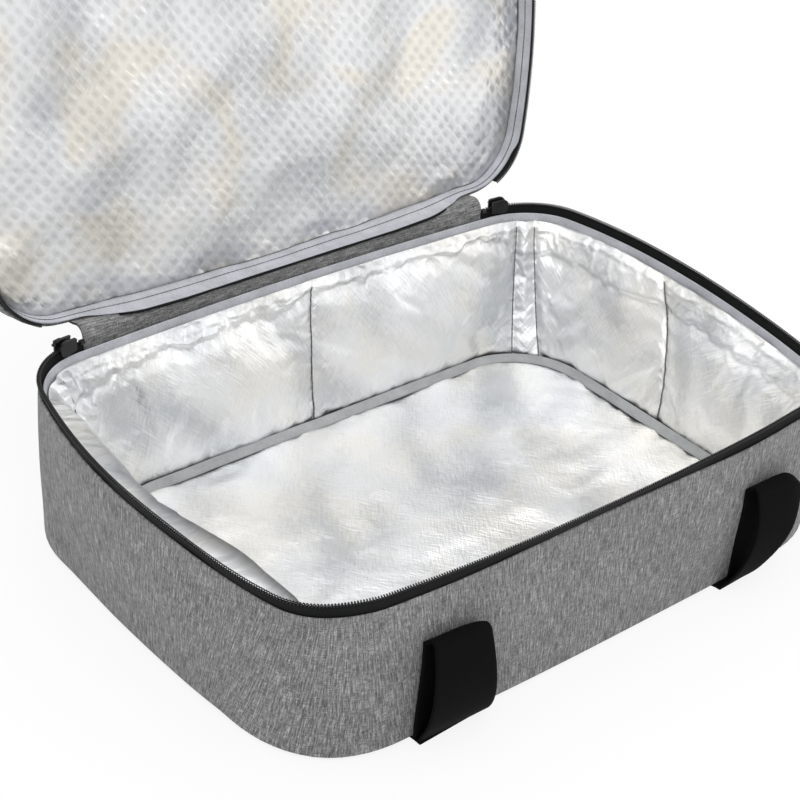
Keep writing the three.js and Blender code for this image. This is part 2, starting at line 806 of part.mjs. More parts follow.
// Lid, drawn closed and then turned open about the hinge's fold
function lid() {
  const shut = new THREE.Group();
  const top = zipPlane + lidDepth;
  const bandLow = zipPlane + coilGap / 2 + tapeShow;
  const bandHigh = top - clothThickness - seamGap;
  const facingInset = tapeInset + tapeThickness + seamGap;
  const foamLow = bandHigh - lidFoamThickness;
  const liningLow = foamLow - seamGap - lidLiningThickness;
  const halfSlider = sliderLength / 2 + nosePlay;
  const zipEnd = backCornerStation(rimOutline, parkedAngle + halfSlider / (rimCorner - tapeInset));

  const panel = named('lid_panel', slab(rimOutline, 0, clothThickness), heather);
  panel.position.z = top - clothThickness;
  shut.add(panel);
  const band = bandSection(rimOutline, 0, clothThickness, bandLow, bandHigh);
  shut.add(named('lid_band', outlineSolid(ringStations(), band, true), heather));
  const facing = bandSection(
    rimOutline, facingInset, facingInset + facingThickness, zipPlane + sliderReach, liningLow,
  );
  shut.add(named('lid_facing', outlineSolid(ringStations(), facing, true), greyTape));
  const pad = named('lid_foam', slab(rimOutline, facingInset, lidFoamThickness), foam);
  pad.position.z = foamLow;
  shut.add(pad);
  const lining = named('lid_foil', slab(rimOutline, facingInset, lidLiningThickness), foil);
  lining.position.z = liningLow;
  shut.add(lining);
  shut.add(zipTape('zip_tape_lid', zipEnd, 1));
  shut.add(zipCoil('zip_coil_lid', zipEnd, 1));
  shut.add(hingeLeaf('hinge_leaf_lid', zipPlane + seamGap / 2, bandLow - seamGap));

  const hingeDepth = rimWidth / 2 + seamGap;
  shut.position.set(0, -hingeDepth, -zipPlane);
  const pivot = new THREE.Group();
  pivot.position.set(0, hingeDepth, zipPlane);
  pivot.rotation.x = -lidOpenAngle;
  pivot.add(shut);
  return pivot;
}

const group = new THREE.Group();
group.add(outerWall());
group.add(hingeLeaf('hinge_leaf_body', wallHeight + seamGap, zipPlane - seamGap / 2));
group.add(basePanel());
group.add(baseFoam());
group.add(foilFloor());
group.add(floorTape());
group.add(foilWalls());
group.add(wallPads());
group.add(rimTape());
group.add(bodyZip());
group.add(handle('front', -1));
group.add(handle('back', 1));
group.add(lid());
group.add(parkedSlider('left', -1));
group.add(parkedSlider('right', 1));

export default group;
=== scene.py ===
from math import cos, radians, sin

import bpy
import numpy as np
from mathutils import Matrix, Vector


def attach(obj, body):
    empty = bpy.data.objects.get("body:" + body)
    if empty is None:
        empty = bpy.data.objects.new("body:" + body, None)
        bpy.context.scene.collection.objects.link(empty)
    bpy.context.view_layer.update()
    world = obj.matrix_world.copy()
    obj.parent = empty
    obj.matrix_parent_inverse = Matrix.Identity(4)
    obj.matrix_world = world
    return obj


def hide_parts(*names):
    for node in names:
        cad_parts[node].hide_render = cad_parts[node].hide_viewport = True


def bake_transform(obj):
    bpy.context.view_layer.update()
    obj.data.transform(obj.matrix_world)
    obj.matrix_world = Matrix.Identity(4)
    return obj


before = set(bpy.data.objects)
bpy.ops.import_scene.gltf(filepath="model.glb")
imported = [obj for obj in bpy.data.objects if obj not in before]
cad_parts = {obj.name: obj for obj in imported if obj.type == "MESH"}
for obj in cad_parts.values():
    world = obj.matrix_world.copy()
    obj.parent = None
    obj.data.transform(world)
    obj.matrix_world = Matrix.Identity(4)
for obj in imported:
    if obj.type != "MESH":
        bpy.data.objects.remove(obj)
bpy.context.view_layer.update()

# Sizes of the source, in mm and radians. An outline is its length, width, corner, and the bows of its
# long and short sides
RIM = np.array([420, 289, 45, 4.5, 12], float)
BASE = np.array([406, 286, 64, 0, 0], float)
FLOOR = np.array([349, 216, 51.5, 0, 0], float)
# Where a long side ends and where a corner ends, as shares of a quarter, and half the rim's and half
# the floor's long side
LONG_SHARE = 0.4
CORNER_SHARE = 0.7
RIM_FLAT = 153.0
FLOOR_FLAT = 123.0
WALL_TOP = 91.0
WALL_UPRIGHT = 85.0
CLOTH = 1.4
TAPE_INSET = 1.7
TAPE = 0.9
ZIP_PLANE = 99.1
COIL_GAP = 1.2
COIL_HIGH = 1.8
TAPE_LOW = 85.0
LID_TAPE_HIGH = 112.0
TAPE_IN_COIL = 0.5
HINGE_HALF = 147.0
ZIP_HALF = 147.3
HINGE_Y = 144.8
LID_OPEN = radians(100.65)
LID_TOP = 121.1
LID_BAND_LOW = 107.2
LID_FOIL = 112.9
FLOOR_LOW = 6.2
FLOOR_TOP = 7.2
RIM_TAPE_LOW = 83.0
RIM_TAPE_HIGH = 94.0
LINING_HIGH = 88.0
LINING_MIDDLE = 45.0
LINING_INSET = 4.2
LINING = 1.2
CORNER_STRIP = 18.0
BACK_SEAM_X = 3.0
WEBBING = 38.0
WEBBING_THICK = 1.5
STRAP_X = 114.6
STRAP_TOP = 58.0
STRAP_Y = 144.05
FOLD_Y = 150.35
FOLD_RADIUS = 4.5
# How the webbing departs from straight straps, on the left and the right of its handle: sideways at the
# foot, the lean of its head, wider at the foot, higher at the fold, sagging at its right edge, sideways
# at the strap, and sideways under the base
LEG_DRIFT = (5.5, -17.0)
LEG_TILT = (0.06, 0.0)
LEG_FLARE = (9.0, -14.0)
LEG_RAISE = (4.5, 6.0)
LEG_DROOP = (2.5, 8.0)
STRAP_SHIFT = (-2.5, 1.5)
GRIP_DRIFT = (-8.0, -26.0)
FOLD_WIDTH = 6.8
TUCK_Y = 146.6
TUCK_DEPTH = 77.0
GRIP_CORNER = 42.0
GRIP_Z = 0.95
ZIP_END = 2 - LONG_SHARE * ZIP_HALF / RIM_FLAT


# Outlines. One is measured at this many stations
FINE = 8001


def inset(outline, depth):
    return outline - np.array([2 * depth, 2 * depth, depth, 0, 0])


def bowed(half, bow):
    reach = (half * half + bow * bow) / (2 * np.maximum(bow, 1e-6))
    return reach, np.arcsin(half / reach)


def outline_points(outline, stations, depth=0.0):
    """Points of an outline. Station 0 is the middle of the front, 1 the right, 2 the back, 3 the left."""
    s = np.asarray(stations, float)
    length, width, corner, bow_long, bow_short = outline
    quarter = np.floor(s).astype(int) % 4
    along = s - np.floor(s)
    share = np.where(quarter % 2 == 0, along, 1 - along)
    cx, cy = length / 2 - bow_short - corner, width / 2 - bow_long - corner
    long_reach, long_turn = bowed(cx, bow_long)
    short_reach, short_turn = bowed(cy, bow_short)
    radius = corner - depth
    part = share / LONG_SHARE
    turn = long_turn * part
    side = np.stack([(long_reach + radius) * np.sin(turn),
                     cy + radius * np.cos(turn) + bow_long - long_reach * (1 - np.cos(turn))], -1)
    part = (share - LONG_SHARE) / (CORNER_SHARE - LONG_SHARE)
    turn = long_turn + (np.pi / 2 - short_turn - long_turn) * part
    bend = np.stack([cx + radius * np.sin(turn), cy + radius * np.cos(turn)], -1)
    part = (1 - share) / (1 - CORNER_SHARE)
    turn = short_turn * part
    end = np.stack([cx + radius * np.cos(turn) + bow_short - short_reach * (1 - np.cos(turn)),
                    (short_reach + radius) * np.sin(turn)], -1)
    point = np.where((share < LONG_SHARE)[..., None], side,
                     np.where((share <= CORNER_SHARE)[..., None], bend, end))
    point[..., 0] *= np.where(quarter < 2, 1, -1)
    point[..., 1] *= np.where((quarter == 1) | (quarter == 2), 1, -1)
    return point


def outward(outline, stations):
    return unit(outline_points(outline, stations, -0.5) - outline_points(outline, stations, 0.5))


def even_stations(outline, step, start=0.0, end=4.0):
    """Stations about step mm apart; a whole ring leaves out its last one."""
    fine = np.linspace(start, end, FINE)
    far = lengths(outline_points(outline, fine))
    count = max(4, int(round(far[-1] / step)))
    found = np.interp(np.linspace(0, far[-1], count + 1), far, fine)
    return found[:-1] if end - start > 3.999 else found


def body_outline(z):
    return BASE + (RIM - BASE) * min(max(z / WALL_UPRIGHT, 0), 1)


def lining_outline(z):
    foot, head = inset(FLOOR, -LINING), inset(RIM, LINING_INSET)
    return foot + (head - foot) * (z - FLOOR_LOW) / (LINING_HIGH - FLOOR_LOW)


# How far the soft body stands out from its plain outline, in mm, by station: its base, its rim, and
# how far the zip's free edge leans out beyond the rim
BASE_STANDS = {
    0: 1.8, 0.25: 1.2, 0.42: -0.6, 0.5: 0.2, 0.7: 0.3, 1: 0, 2.5: 0, 2.72: -0.4, 2.84: 1.2, 2.92: 2.2,
    3.06: 2.4, 3.2: 1.5, 3.3: -1.0, 3.37: 0.2, 3.45: 2.6, 3.5: 2.2, 3.56: -0.8, 3.68: 0.4, 3.8: 1.6,
    3.9: 1.9}
RIM_STANDS = {
    0: -1.8, 0.08: -1.2, 0.16: 0.2, 0.24: 1.8, 0.32: 0.6, 0.4: -1.2, 0.5: -1.6, 0.62: -2.0,
    0.76: -2.5, 0.86: -2.5, 0.95: -1.2, 1.03: 0.3, 1.1: 2.0, 1.18: 3.8, 1.27: 5.0, 1.35: 4.6,
    1.42: 2.2, 1.49: 0.8, 1.56: 0, 2.6: 0, 2.75: 0.5, 2.9: 1.2, 3.0: 1.1, 3.08: 0.9, 3.15: 2.0,
    3.22: 3.4, 3.3: 4.5, 3.37: 4.2, 3.43: 2.6, 3.5: 0.3, 3.58: 0.4, 3.66: 1.3, 3.73: 1.3, 3.8: 0.3,
    3.88: -0.8, 3.95: -1.5}
ZIP_LEANS = {
    0: 3.0, 0.06: 2.6, 0.13: 1.4, 0.2: -0.8, 0.28: -1.4, 0.4: -1.2, 0.7: -0.4, 1: 0, 1.3: 0.6,
    1.42: 0.2, 1.5: 0, 2.8: 0, 3.1: 0.4, 3.27: 0.7, 3.36: -0.5, 3.44: -1.4, 3.54: -2.0, 3.62: -1.9,
    3.72: -0.6, 3.8: 0.9, 3.87: 1.9, 3.94: 2.6}
# How far the lining's top rolls in over the left wall, by station, in mm
ROLLS = {
    0: 0, 2.45: 0, 2.56: 2, 2.66: 5, 2.76: 9, 2.86: 10.5, 2.95: 11, 3.02: 12.5, 3.1: 15.5, 3.2: 17,
    3.27: 14, 3.34: 9, 3.42: 3, 3.5: 0}
# How tall the gathered band at the lining's top is, by station, in mm
RUFFLES = {
    0: 10, 0.5: 12, 0.9: 17, 1.2: 20, 1.45: 21, 1.58: 12, 1.7: 8, 2.0: 9, 2.1: 12, 2.3: 12, 2.5: 19,
    2.7: 17, 3.0: 12, 3.5: 10}
# Where the lining is smooth at its top instead of gathered, by station
CALM = {
    0: 0, 2.7: 0, 2.85: 0.3, 2.95: 0.7, 3.05: 1, 3.35: 1, 3.45: 0.5, 3.6: 0}
# Middle seams that lean along their walls: station, and how far in stations at the foot and at the rim
SEAM_LEANS = [(1.0, -0.062, 0.069), (1.992, 0.024, -0.021)]
# Points on the ground plan, without their heights
PLAN = np.array([1, 1, 0])


def stands(table, stations):
    """Smooth value of a table that runs round the outline."""
    at, value = np.array(list(table.items()), float).T
    near = np.asarray(stations, float)[..., None] + np.linspace(-0.05, 0.05, 7)
    return np.interp(near, at, value, period=4).mean(-1)


# Noise that is the same every run
def lattice(i, seed):
    h = (i[..., 0] * 374761393 + i[..., 1] * 668265263 + i[..., 2] * 1440662683 + seed * 974711) & 0xFFFFFFFF
    h = ((h ^ (h >> 13)) * 1274126177) & 0xFFFFFFFF
    return ((h ^ (h >> 16)) & 0xFFFF) / 32767.5 - 1


def noise(points, cell, seed=0):
    """Smooth noise from -1 to 1 with features about cell mm across; cell may be one size an axis."""
    q = np.asarray(points, float) / cell
    i = np.floor(q).astype(np.int64)
    f = q - i
    f = f * f * f * (f * (f * 6 - 15) + 10)
    total = 0
    for corner in range(8):
        step = np.array([corner & 1, corner >> 1 & 1, corner >> 2 & 1])
        total = total + lattice(i + step, seed) * np.prod(np.where(step, f, 1 - f), -1)
    return total


def fractal(points, cell, seed=0, octaves=3):
    return sum(noise(points, np.asarray(cell, float) / 2 ** k, seed + 31 * k) / 2 ** k
               for k in range(octaves))


def ease(value, low, high):
    t = np.clip((value - low) / (high - low), 0, 1)
    return t * t * (3 - 2 * t)


def unit(vectors):
    return vectors / np.linalg.norm(vectors, axis=-1, keepdims=True)


# Meshes, from grids of points in mm
def lengths(rows):
    return np.concatenate([[0], np.cumsum(np.linalg.norm(np.diff(rows, axis=0), axis=-1))])


def grid_faces(rows, cols, ring, tube):
    """Each face's four corners in a grid: as vertex numbers, and as steps along its two ways."""
    i, j = np.indices((rows - (not ring), cols - (not tube))).reshape(2, -1, 1)
    i, j = i + [0, 1, 1, 0], j + [0, 0, 1, 1]
    return i % rows * cols + j % cols, i, j


def skin(name, points, ring=False, tube=False, out=1, merge=False, flat=None):
    """A mesh over a grid of points, closed along its first way (ring) and its second (tube).
    Its map, in metres, runs along both ways, or is the flat place of each point."""
    rows, cols = points.shape[:2]
    quads, i, j = grid_faces(rows, cols, ring, tube)
    middle = points[:, cols // 2]
    u = lengths(np.concatenate([middle, middle[:1]]) if ring else middle)
    spine = points[0]
    v = lengths(np.concatenate([spine, spine[:1]]) if tube else spine)
    uv = np.stack([u[i], v[j]], -1) / 1000
    if flat is not None:
        uv = flat.reshape(-1, 2)[quads] / 1000
    if out < 0:
        quads, uv = quads[:, ::-1], uv[:, ::-1]
    return mesh_object(name, points.reshape(-1, 3), quads, uv, merge)


def new_object(name, data):
    made = bpy.data.objects.new(name, data)
    bpy.context.scene.collection.objects.link(made)
    return made


def mesh_object(name, points, quads, uv, merge=False):
    mesh = bpy.data.meshes.new(name)
    mesh.vertices.add(len(points))
    mesh.vertices.foreach_set("co", (np.asarray(points) / 1000).astype(np.float32).ravel())
    mesh.loops.add(quads.size)
    mesh.loops.foreach_set("vertex_index", quads.astype(np.int32).ravel())
    mesh.polygons.add(len(quads))
    mesh.polygons.foreach_set("loop_start", np.arange(0, quads.size, 4, dtype=np.int32))
    mesh.polygons.foreach_set("use_smooth", np.ones(len(quads), bool))
    mesh.update(calc_edges=True)
    layer = mesh.uv_layers.new(name="weave")
    layer.uv.foreach_set("vector", uv.astype(np.float32).ravel())
    mesh.validate()
    made = new_object(name, mesh)
    if merge:
        weld = made.modifiers.new("weld", "WELD")
        weld.merge_threshold = 2e-5
        apply_modifiers(made)
    return made


def apply_modifiers(made):
    graph = bpy.context.evaluated_depsgraph_get()
    mesh = bpy.data.meshes.new_from_object(made.evaluated_get(graph))
    made.modifiers.clear()
    made.data = mesh


def disc(outline, depth, step, rings):
    """A plate inside an outline, from its spine out to its edge: its flat points, the same with heights
    of 0, and how far out each one is."""
    stations = even_stations(outline, step)
    edge = outline_points(outline, stations, depth)
    half = outline[0] / 2 - outline[1] / 2
    spine = np.stack([np.clip(edge[:, 0], -half, half), np.zeros(len(edge))], -1)
    share = np.linspace(0, 1, rings)[None, :]
    flat = spine[:, None] + (edge - spine)[:, None] * share[..., None]
    return flat, with_z(flat, 0.0), share


def with_z(points, z):
    return np.concatenate([points, np.broadcast_to(z, points.shape[:-1])[..., None]], -1)


def swept(outline, stations, section):
    """Points of a section, in pairs of inset and z, carried round an outline or a function of z."""
    columns = []
    for depth, z in section:
        at = outline(z) if callable(outline) else outline
        columns.append(with_z(outline_points(at, stations, depth), float(z)))
    return np.stack(columns, 1)


def arc(centre_x, centre_z, radius_x, radius_z, start, end, count):
    angle = np.radians(np.linspace(start, end, count))
    return [(centre_x + radius_x * cos(a), centre_z + radius_z * sin(a)) for a in angle]


def opened(points, share=1.0, push=0.0):
    """Turns points of the shut lid about the hinge, by a share of the angle that it stands open."""
    p = np.array(points, float)
    y, z = p[..., 1] - HINGE_Y + push, p[..., 2] - ZIP_PLANE
    turn = -LID_OPEN * share
    p[..., 1] = y * np.cos(turn) - z * np.sin(turn) + HINGE_Y
    p[..., 2] = y * np.sin(turn) + z * np.cos(turn) + ZIP_PLANE
    return p


def wire_rings(line, radius, side, up, turns):
    """A ring of points round each point of a line."""
    turns = turns[:, None]
    return line[:, None] + radius * (np.cos(turns) * side[:, None] + np.sin(turns) * up[:, None])


STITCH_STEP = 0.8


def stitched_lines(name, paths, radius, body, slot, pitch=3.2, material=None):
    """Rows of stitches along paths of points, all in one mesh."""
    grids = []
    for path in paths:
        far = lengths(path)
        marks = np.linspace(0, far[-1], max(8, int(far[-1] / STITCH_STEP)))
        line = np.stack([np.interp(marks, far, path[:, k]) for k in range(3)], -1)
        along = unit(np.gradient(line, axis=0))
        side = unit(np.cross(along, (0.31, 0.17, 0.93) if abs(along[0, 2]) < 0.7 else (1.0, 0.2, 0.1)))
        rise = np.cross(side, along)
        size = radius * (0.62 + 0.38 * np.abs(np.sin(np.pi * marks / pitch)))[:, None, None]
        grids.append(wire_rings(line, size, side, rise, np.linspace(0, 2 * np.pi, 7)[:-1]))
    points, quads, uv, first = [], [], [], 0
    for grid in grids:
        faces, i, j = grid_faces(len(grid), 6, False, True)
        quads.append(faces + first)
        uv.append(np.stack([i * STITCH_STEP, j * 0.4], -1) / 1000)
        points.append(grid.reshape(-1, 3))
        first += len(grid) * 6
    made = mesh_object(name, np.concatenate(points), np.concatenate(quads), np.concatenate(uv))
    piece(made, body, material or THREAD, slot)


def piece(made, body, material, slot, *nodes):
    made.data.materials.clear()
    made.data.materials.append(material)
    if nodes:
        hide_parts(*nodes)
    if body:
        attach(made, body)


# Materials. A wave texture at this scale repeats once a unit of its place, and the foil's backing
# threads cross at this slant either way
WAVE_SCALE = 0.31416
THREAD_SLANT = radians(38)


def new_material(name):
    material = bpy.data.materials.new(name)
    material.use_nodes = True
    return material, material.node_tree


def feed(tree, made, inputs):
    """Links or sets a node's inputs."""
    for key, value in inputs.items():
        if isinstance(value, bpy.types.NodeSocket):
            tree.links.new(value, made.inputs[key])
        else:
            made.inputs[key].default_value = value
    return made


def node(tree, kind, inputs=None, **settings):
    """A new shader node, its settings first, for they change its inputs."""
    made = tree.nodes.new("ShaderNode" + kind)
    for key, value in settings.items():
        setattr(made, key, value)
    return feed(tree, made, inputs or {})


def maths(tree, operation, *values):
    return node(tree, "Math", dict(enumerate(values)), operation=operation).outputs[0]


def plus(tree, value, weight, rest):
    """A value times its weight, added to the rest."""
    return maths(tree, "MULTIPLY_ADD", value, weight, rest)


def remap(tree, value, low, high, to_low=0.0, to_high=1.0):
    inputs = {"Value": value, "From Min": low, "From Max": high, "To Min": to_low, "To Max": to_high}
    return node(tree, "MapRange", inputs).outputs[0]


def ramp(tree, value, *stops):
    made = node(tree, "ValToRGB", {0: value})
    points = made.color_ramp.elements
    while len(points) < len(stops):
        points.new(0.5)
    for point, (place, colour) in zip(points, stops):
        point.position = place
        point.color = (*colour, 1) if isinstance(colour, tuple) else (colour, colour, colour, 1)
    return made.outputs[0]


def sized(tree, where, across, along, unit_size=1.0):
    """A place divided by a size across and along."""
    inputs = {0: where, 1: (unit_size / across, unit_size / along, 1)}
    return node(tree, "VectorMath", inputs, operation="MULTIPLY").outputs[0]


def map_mm(tree, across=1.0, along=1.0):
    """The piece's own map in mm, divided by a size across and along."""
    return sized(tree, node(tree, "UVMap", uv_map="weave").outputs[0], across, along, 1000)


def place_mm(tree, cell=1.0):
    where = node(tree, "TexCoord").outputs["Object"]
    inputs = {0: where, "Scale": 1000 / cell}
    return node(tree, "VectorMath", inputs, operation="SCALE").outputs[0]


def cloudy(tree, where, detail=2.0, rough=0.5, distortion=0.0):
    inputs = {"Vector": where, "Scale": 1.0, "Detail": detail, "Roughness": rough,
              "Distortion": distortion}
    return node(tree, "TexNoise", inputs).outputs[0]


def waves(tree, where, direction="X"):
    """Sine bands, one wave to each unit of the place."""
    return node(tree, "TexWave", {"Vector": where, "Scale": WAVE_SCALE}, wave_type="BANDS",
                bands_direction=direction, wave_profile="SIN").outputs[1]


def shaded(tree, colour, value, *stops):
    """A colour multiplied by a ramp of a value."""
    inputs = {0: 1.0, 6: colour, 7: ramp(tree, value, *stops)}
    return node(tree, "Mix", inputs, data_type="RGBA", blend_type="MULTIPLY").outputs[2]


def bump(tree, height, distance, normal=None):
    inputs = {"Height": height, "Distance": distance / 1000, "Strength": 1.0}
    if normal is not None:
        inputs["Normal"] = normal
    return node(tree, "Bump", inputs).outputs[0]


def shader(tree, **values):
    values = {key.replace("_", " "): value for key, value in values.items()}
    return feed(tree, tree.nodes["Principled BSDF"], values)


def plain_weave(tree, pitch):
    """Height of a plain weave, threads pitch mm apart both ways."""
    across = waves(tree, map_mm(tree, 2 * pitch, 2 * pitch), "X")
    along = waves(tree, map_mm(tree, 2 * pitch, 2 * pitch), "Y")
    return maths(tree, "ABSOLUTE", maths(tree, "SUBTRACT", across, along))


def heather():
    material, tree = new_material("heather_cloth")
    streaks = cloudy(tree, map_mm(tree, 0.85, 11.0), 3.0, 0.65)
    short = cloudy(tree, map_mm(tree, 0.45, 3.0), 2.0, 0.6)
    weft = cloudy(tree, map_mm(tree, 4.5, 0.45), 2.0, 0.5)
    clouds = cloudy(tree, map_mm(tree, 40.0, 40.0), 2.0, 0.5)
    total = plus(tree, short, 0.75, maths(tree, "MULTIPLY", streaks, 1.25))
    total = plus(tree, weft, 0.7, total)
    total = plus(tree, clouds, 0.12, total)
    colour = ramp(tree, remap(tree, total, 1.02, 1.78), (0.0, 0.045), (0.35, 0.13), (0.62, 0.25),
                  (1.0, 0.52))
    height = plus(tree, short, 0.6, plain_weave(tree, 0.55))
    shader(tree, Base_Color=colour, Roughness=0.92, Sheen_Weight=0.15, Sheen_Roughness=0.5,
           Specular_IOR_Level=0.25, Normal=bump(tree, height, 0.12))
    return material


def foil(name, embossed):
    """Satin foil backed with fine crossed threads; the lid's is also embossed in slanting rows."""
    material, tree = new_material(name)
    flat = map_mm(tree)
    turned, crossed = (node(tree, "Mapping", {0: flat, "Rotation": (0, 0, slant)}).outputs[0]
                       for slant in (THREAD_SLANT, -THREAD_SLANT))
    hatch = maths(tree, "ADD", *(cloudy(tree, sized(tree, way, 1.5, 9.0), 2.0, 0.6)
                                 for way in (turned, crossed)))
    soft = cloudy(tree, place_mm(tree, 11.0), 3.0, 0.5, 0.6)
    normal = bump(tree, soft, 0.3)
    normal = bump(tree, hatch, 0.3, normal)
    if embossed:
        inputs = {"Vector": sized(tree, turned, 6.2, 8.4), "Scale": 1.0, "Randomness": 0.2}
        rows = node(tree, "TexVoronoi", inputs, feature="F1").outputs[0]
        pits = remap(tree, rows, 0.05, 0.5)
        normal = bump(tree, pits, 0.45, normal)
    tint = cloudy(tree, place_mm(tree, 60.0), 2.0, 0.5, 0.4)
    warm = (0.97, 0.93, 0.85) if embossed else (0.97, 0.96, 0.93)
    colour = ramp(tree, tint, (0.4, (0.92, 0.935, 0.95)), (0.5, 0.96), (0.6, warm))
    # Darker by painted reflection in long smudges, and by painted shade in the pits, in creases and under
    # the lining's roll
    painted_reflection = sized(tree, crossed if embossed else turned, 42.0, 90.0)
    painted_reflection = plus(tree, hatch, 0.2, cloudy(tree, painted_reflection, 1.0, 0.5))
    colour = shaded(tree, colour, painted_reflection, (0.54, (0.72, 0.73, 0.74)), (0.68, 0.92), (0.8, 1))
    # Painted shade in the pits of the emboss
    if embossed:
        colour = shaded(tree, colour, pits, (0.0, 0.8), (1.0, 1))
    # Painted shade in creases and hollows, from ambient occlusion
    painted_crease_shade = node(tree, "AmbientOcclusion", {"Distance": 0.007}, samples=6).outputs["AO"]
    colour = shaded(tree, colour, painted_crease_shade, (0.15, (0.25, 0.25, 0.26)), (0.75, 1))
    # Painted shade under the lining's roll, read from an attribute of the wall lining
    painted_roll_shade = node(tree, "Attribute", attribute_name="painted_roll_shade").outputs["Fac"]
    colour = shaded(tree, colour, painted_roll_shade, (0.0, 1), (0.5, (0.5, 0.5, 0.51)), (1.0, (0.13, 0.13, 0.135)))
    rough = remap(tree, hatch, 0.7, 1.3, 0.3, 0.4)
    shader(tree, Base_Color=colour, Metallic=1.0, Roughness=rough, Normal=normal)
    return material


def ribbed(name, colour, spread, pitch, rough=0.8):
    """Woven tape: fine ribs across its width and a faint change of shade."""
    material, tree = new_material(name)
    ribs = waves(tree, map_mm(tree, pitch, pitch), "X")
    grain = cloudy(tree, map_mm(tree, 0.7, 2.5), 2.0)
    clouds = cloudy(tree, map_mm(tree, 14.0, 14.0), 2.0)
    share = plus(tree, clouds, 0.5, maths(tree, "MULTIPLY", grain, 0.5))
    low = tuple(c * (1 - spread) for c in colour)
    high = tuple(min(1, c * (1 + spread)) for c in colour)
    shade = ramp(tree, share, (0.35, low), (0.65, high))
    height = plus(tree, grain, 0.5, ribs)
    shader(tree, Base_Color=shade, Roughness=rough, Specular_IOR_Level=0.2,
           Normal=bump(tree, height, 0.09))
    return material


def webbing_cloth():
    material, tree = new_material("webbing")
    rows = waves(tree, map_mm(tree, 1.5, 1.5), "Y")
    slant = waves(tree, map_mm(tree, 2.2, 0.9), "DIAGONAL")
    grain = cloudy(tree, map_mm(tree, 0.5, 1.2), 2.0)
    height = plus(tree, slant, 0.6, rows)
    shade = ramp(tree, plus(tree, grain, 0.5, maths(tree, "MULTIPLY", height, 0.12)),
                 (0.2, (0.002, 0.002, 0.0022)), (0.8, (0.0068, 0.0072, 0.007)))
    shader(tree, Base_Color=shade, Roughness=0.9, Specular_IOR_Level=0.08, Normal=bump(tree, height, 0.04))
    return material


def dark_solid(name, colour, metallic, rough):
    material, tree = new_material(name)
    where = place_mm(tree)
    wear = node(tree, "TexNoise", {"Vector": where, "Scale": 1.4, "Detail": 4.0}).outputs[0]
    shade = ramp(tree, wear, (0.3, tuple(c * 0.75 for c in colour)), (0.7, tuple(c * 1.35 for c in colour)))
    shader(tree, Base_Color=shade, Metallic=metallic,
           Roughness=remap(tree, wear, 0.3, 0.7, rough - 0.08, rough + 0.1),
           Normal=bump(tree, wear, 0.05))
    return material


HEATHER = heather()
FOIL = foil("foil_lining", False)
LID_FOIL_LOOK = foil("foil_embossed", True)
RIM_BINDING = ribbed("rim_binding", (0.50, 0.51, 0.55), 0.16, 1.1)
FLOOR_BINDING = ribbed("floor_binding", (0.37, 0.38, 0.385), 0.16, 1.1)
ZIP_TAPE = ribbed("zip_tape", (0.0065, 0.0068, 0.007), 0.3, 0.9, 0.8)
WEBBING_CLOTH = webbing_cloth()
THREAD = ribbed("thread", (0.15, 0.153, 0.16), 0.3, 1.2, 0.6)
COIL = dark_solid("zip_coil", (0.012, 0.012, 0.013), 0.0, 0.42)
SLIDER = dark_solid("zip_slider", (0.018, 0.018, 0.019), 0.6, 0.36)


# Outer wall: a soft shell with a rounded lower edge and a folded top
def wall_swell(points):
    z = points[..., 2]
    rise = np.sin(np.pi * np.clip(z / WALL_TOP, 0, 1))
    slow = noise(points, (80, 80, 60), 3) * 1.1 + noise(points, (34, 34, 26), 4) * 0.35
    return rise * (0.9 + slow)


def settled(points, stations):
    """Moves points of the body, listed by station, out to where its soft wall stands."""
    rise = np.clip(points[..., 2] / WALL_TOP, 0, 1)
    low, high = stands(BASE_STANDS, stations)[:, None], stands(RIM_STANDS, stations)[:, None]
    return pushed(points, RIM, stations, low + (high - low) * rise)


def pushed(points, outline, stations, amount):
    way = outward(outline, stations)
    moved = points.copy()
    moved[..., :2] += way[:, None, :] * amount[..., None]
    return moved


def tub_wall():
    stations = even_stations(RIM, 4.0)
    section = [(13.0, 0.9), (9.0, 0.5), (6.0, 0.35)]
    section += [(3.4 - x, z) for x, z in arc(0, 3.7, 3.4, 3.4, -90, 0, 7)]
    section += [(0.0, z) for z in np.linspace(6, 89.6, 28)]
    section += [(CLOTH / 2 - x, z) for x, z in arc(0, WALL_TOP - 0.7, 0.7, 0.7, 0, 180, 7)]
    section += [(CLOTH, z) for z in (88.0, 86.0, 84.0)]
    points = swept(body_outline, stations, section)
    points = settled(pushed(points, RIM, stations, wall_swell(points)), stations)
    made = skin("tub_wall", points, ring=True)
    piece(made, "tub", HEATHER, "heather_cloth", "outer_wall")


def grip_path(face, start):
    inner = TUCK_Y - TUCK_DEPTH
    turns = np.radians(np.linspace(0, 90, 13))
    left, right = -STRAP_X + GRIP_DRIFT[0], STRAP_X + GRIP_DRIFT[1]
    points = [(left, start)]
    for x, way, bend in ((left, 1, turns), (right, -1, turns[::-1])):
        points += [(x + way * GRIP_CORNER * (1 - cos(t)), inner + GRIP_CORNER * (1 - sin(t)))
                   for t in bend]
    points += [(right, start)]
    return np.array([(x, face * y) for x, y in points])


def tub_base():
    """Base cloth, pressed in where the tucked handles run."""
    flat, points, _ = disc(BASE, 11.0, 4.0, 40)
    near = np.full(flat.shape[:2], 1e9)
    for face in (-1, 1):
        path = grip_path(face, TUCK_Y + 10)
        for a, b in zip(path[:-1], path[1:]):
            along = np.clip(((flat - a) @ (b - a)) / ((b - a) @ (b - a)), 0, 1)
            near = np.minimum(near, np.linalg.norm(flat - a - along[..., None] * (b - a), axis=-1))
    lift = 2.3 * (1 - ease(near, WEBBING / 2, WEBBING / 2 + 7))
    points[..., 2] = 0.55 + lift + noise(points, 45, 8) * 0.25
    made = skin("tub_base", points, ring=True, out=1, merge=True, flat=flat)
    piece(made, "tub", HEATHER, "heather_cloth", "base_panel", "base_foam")


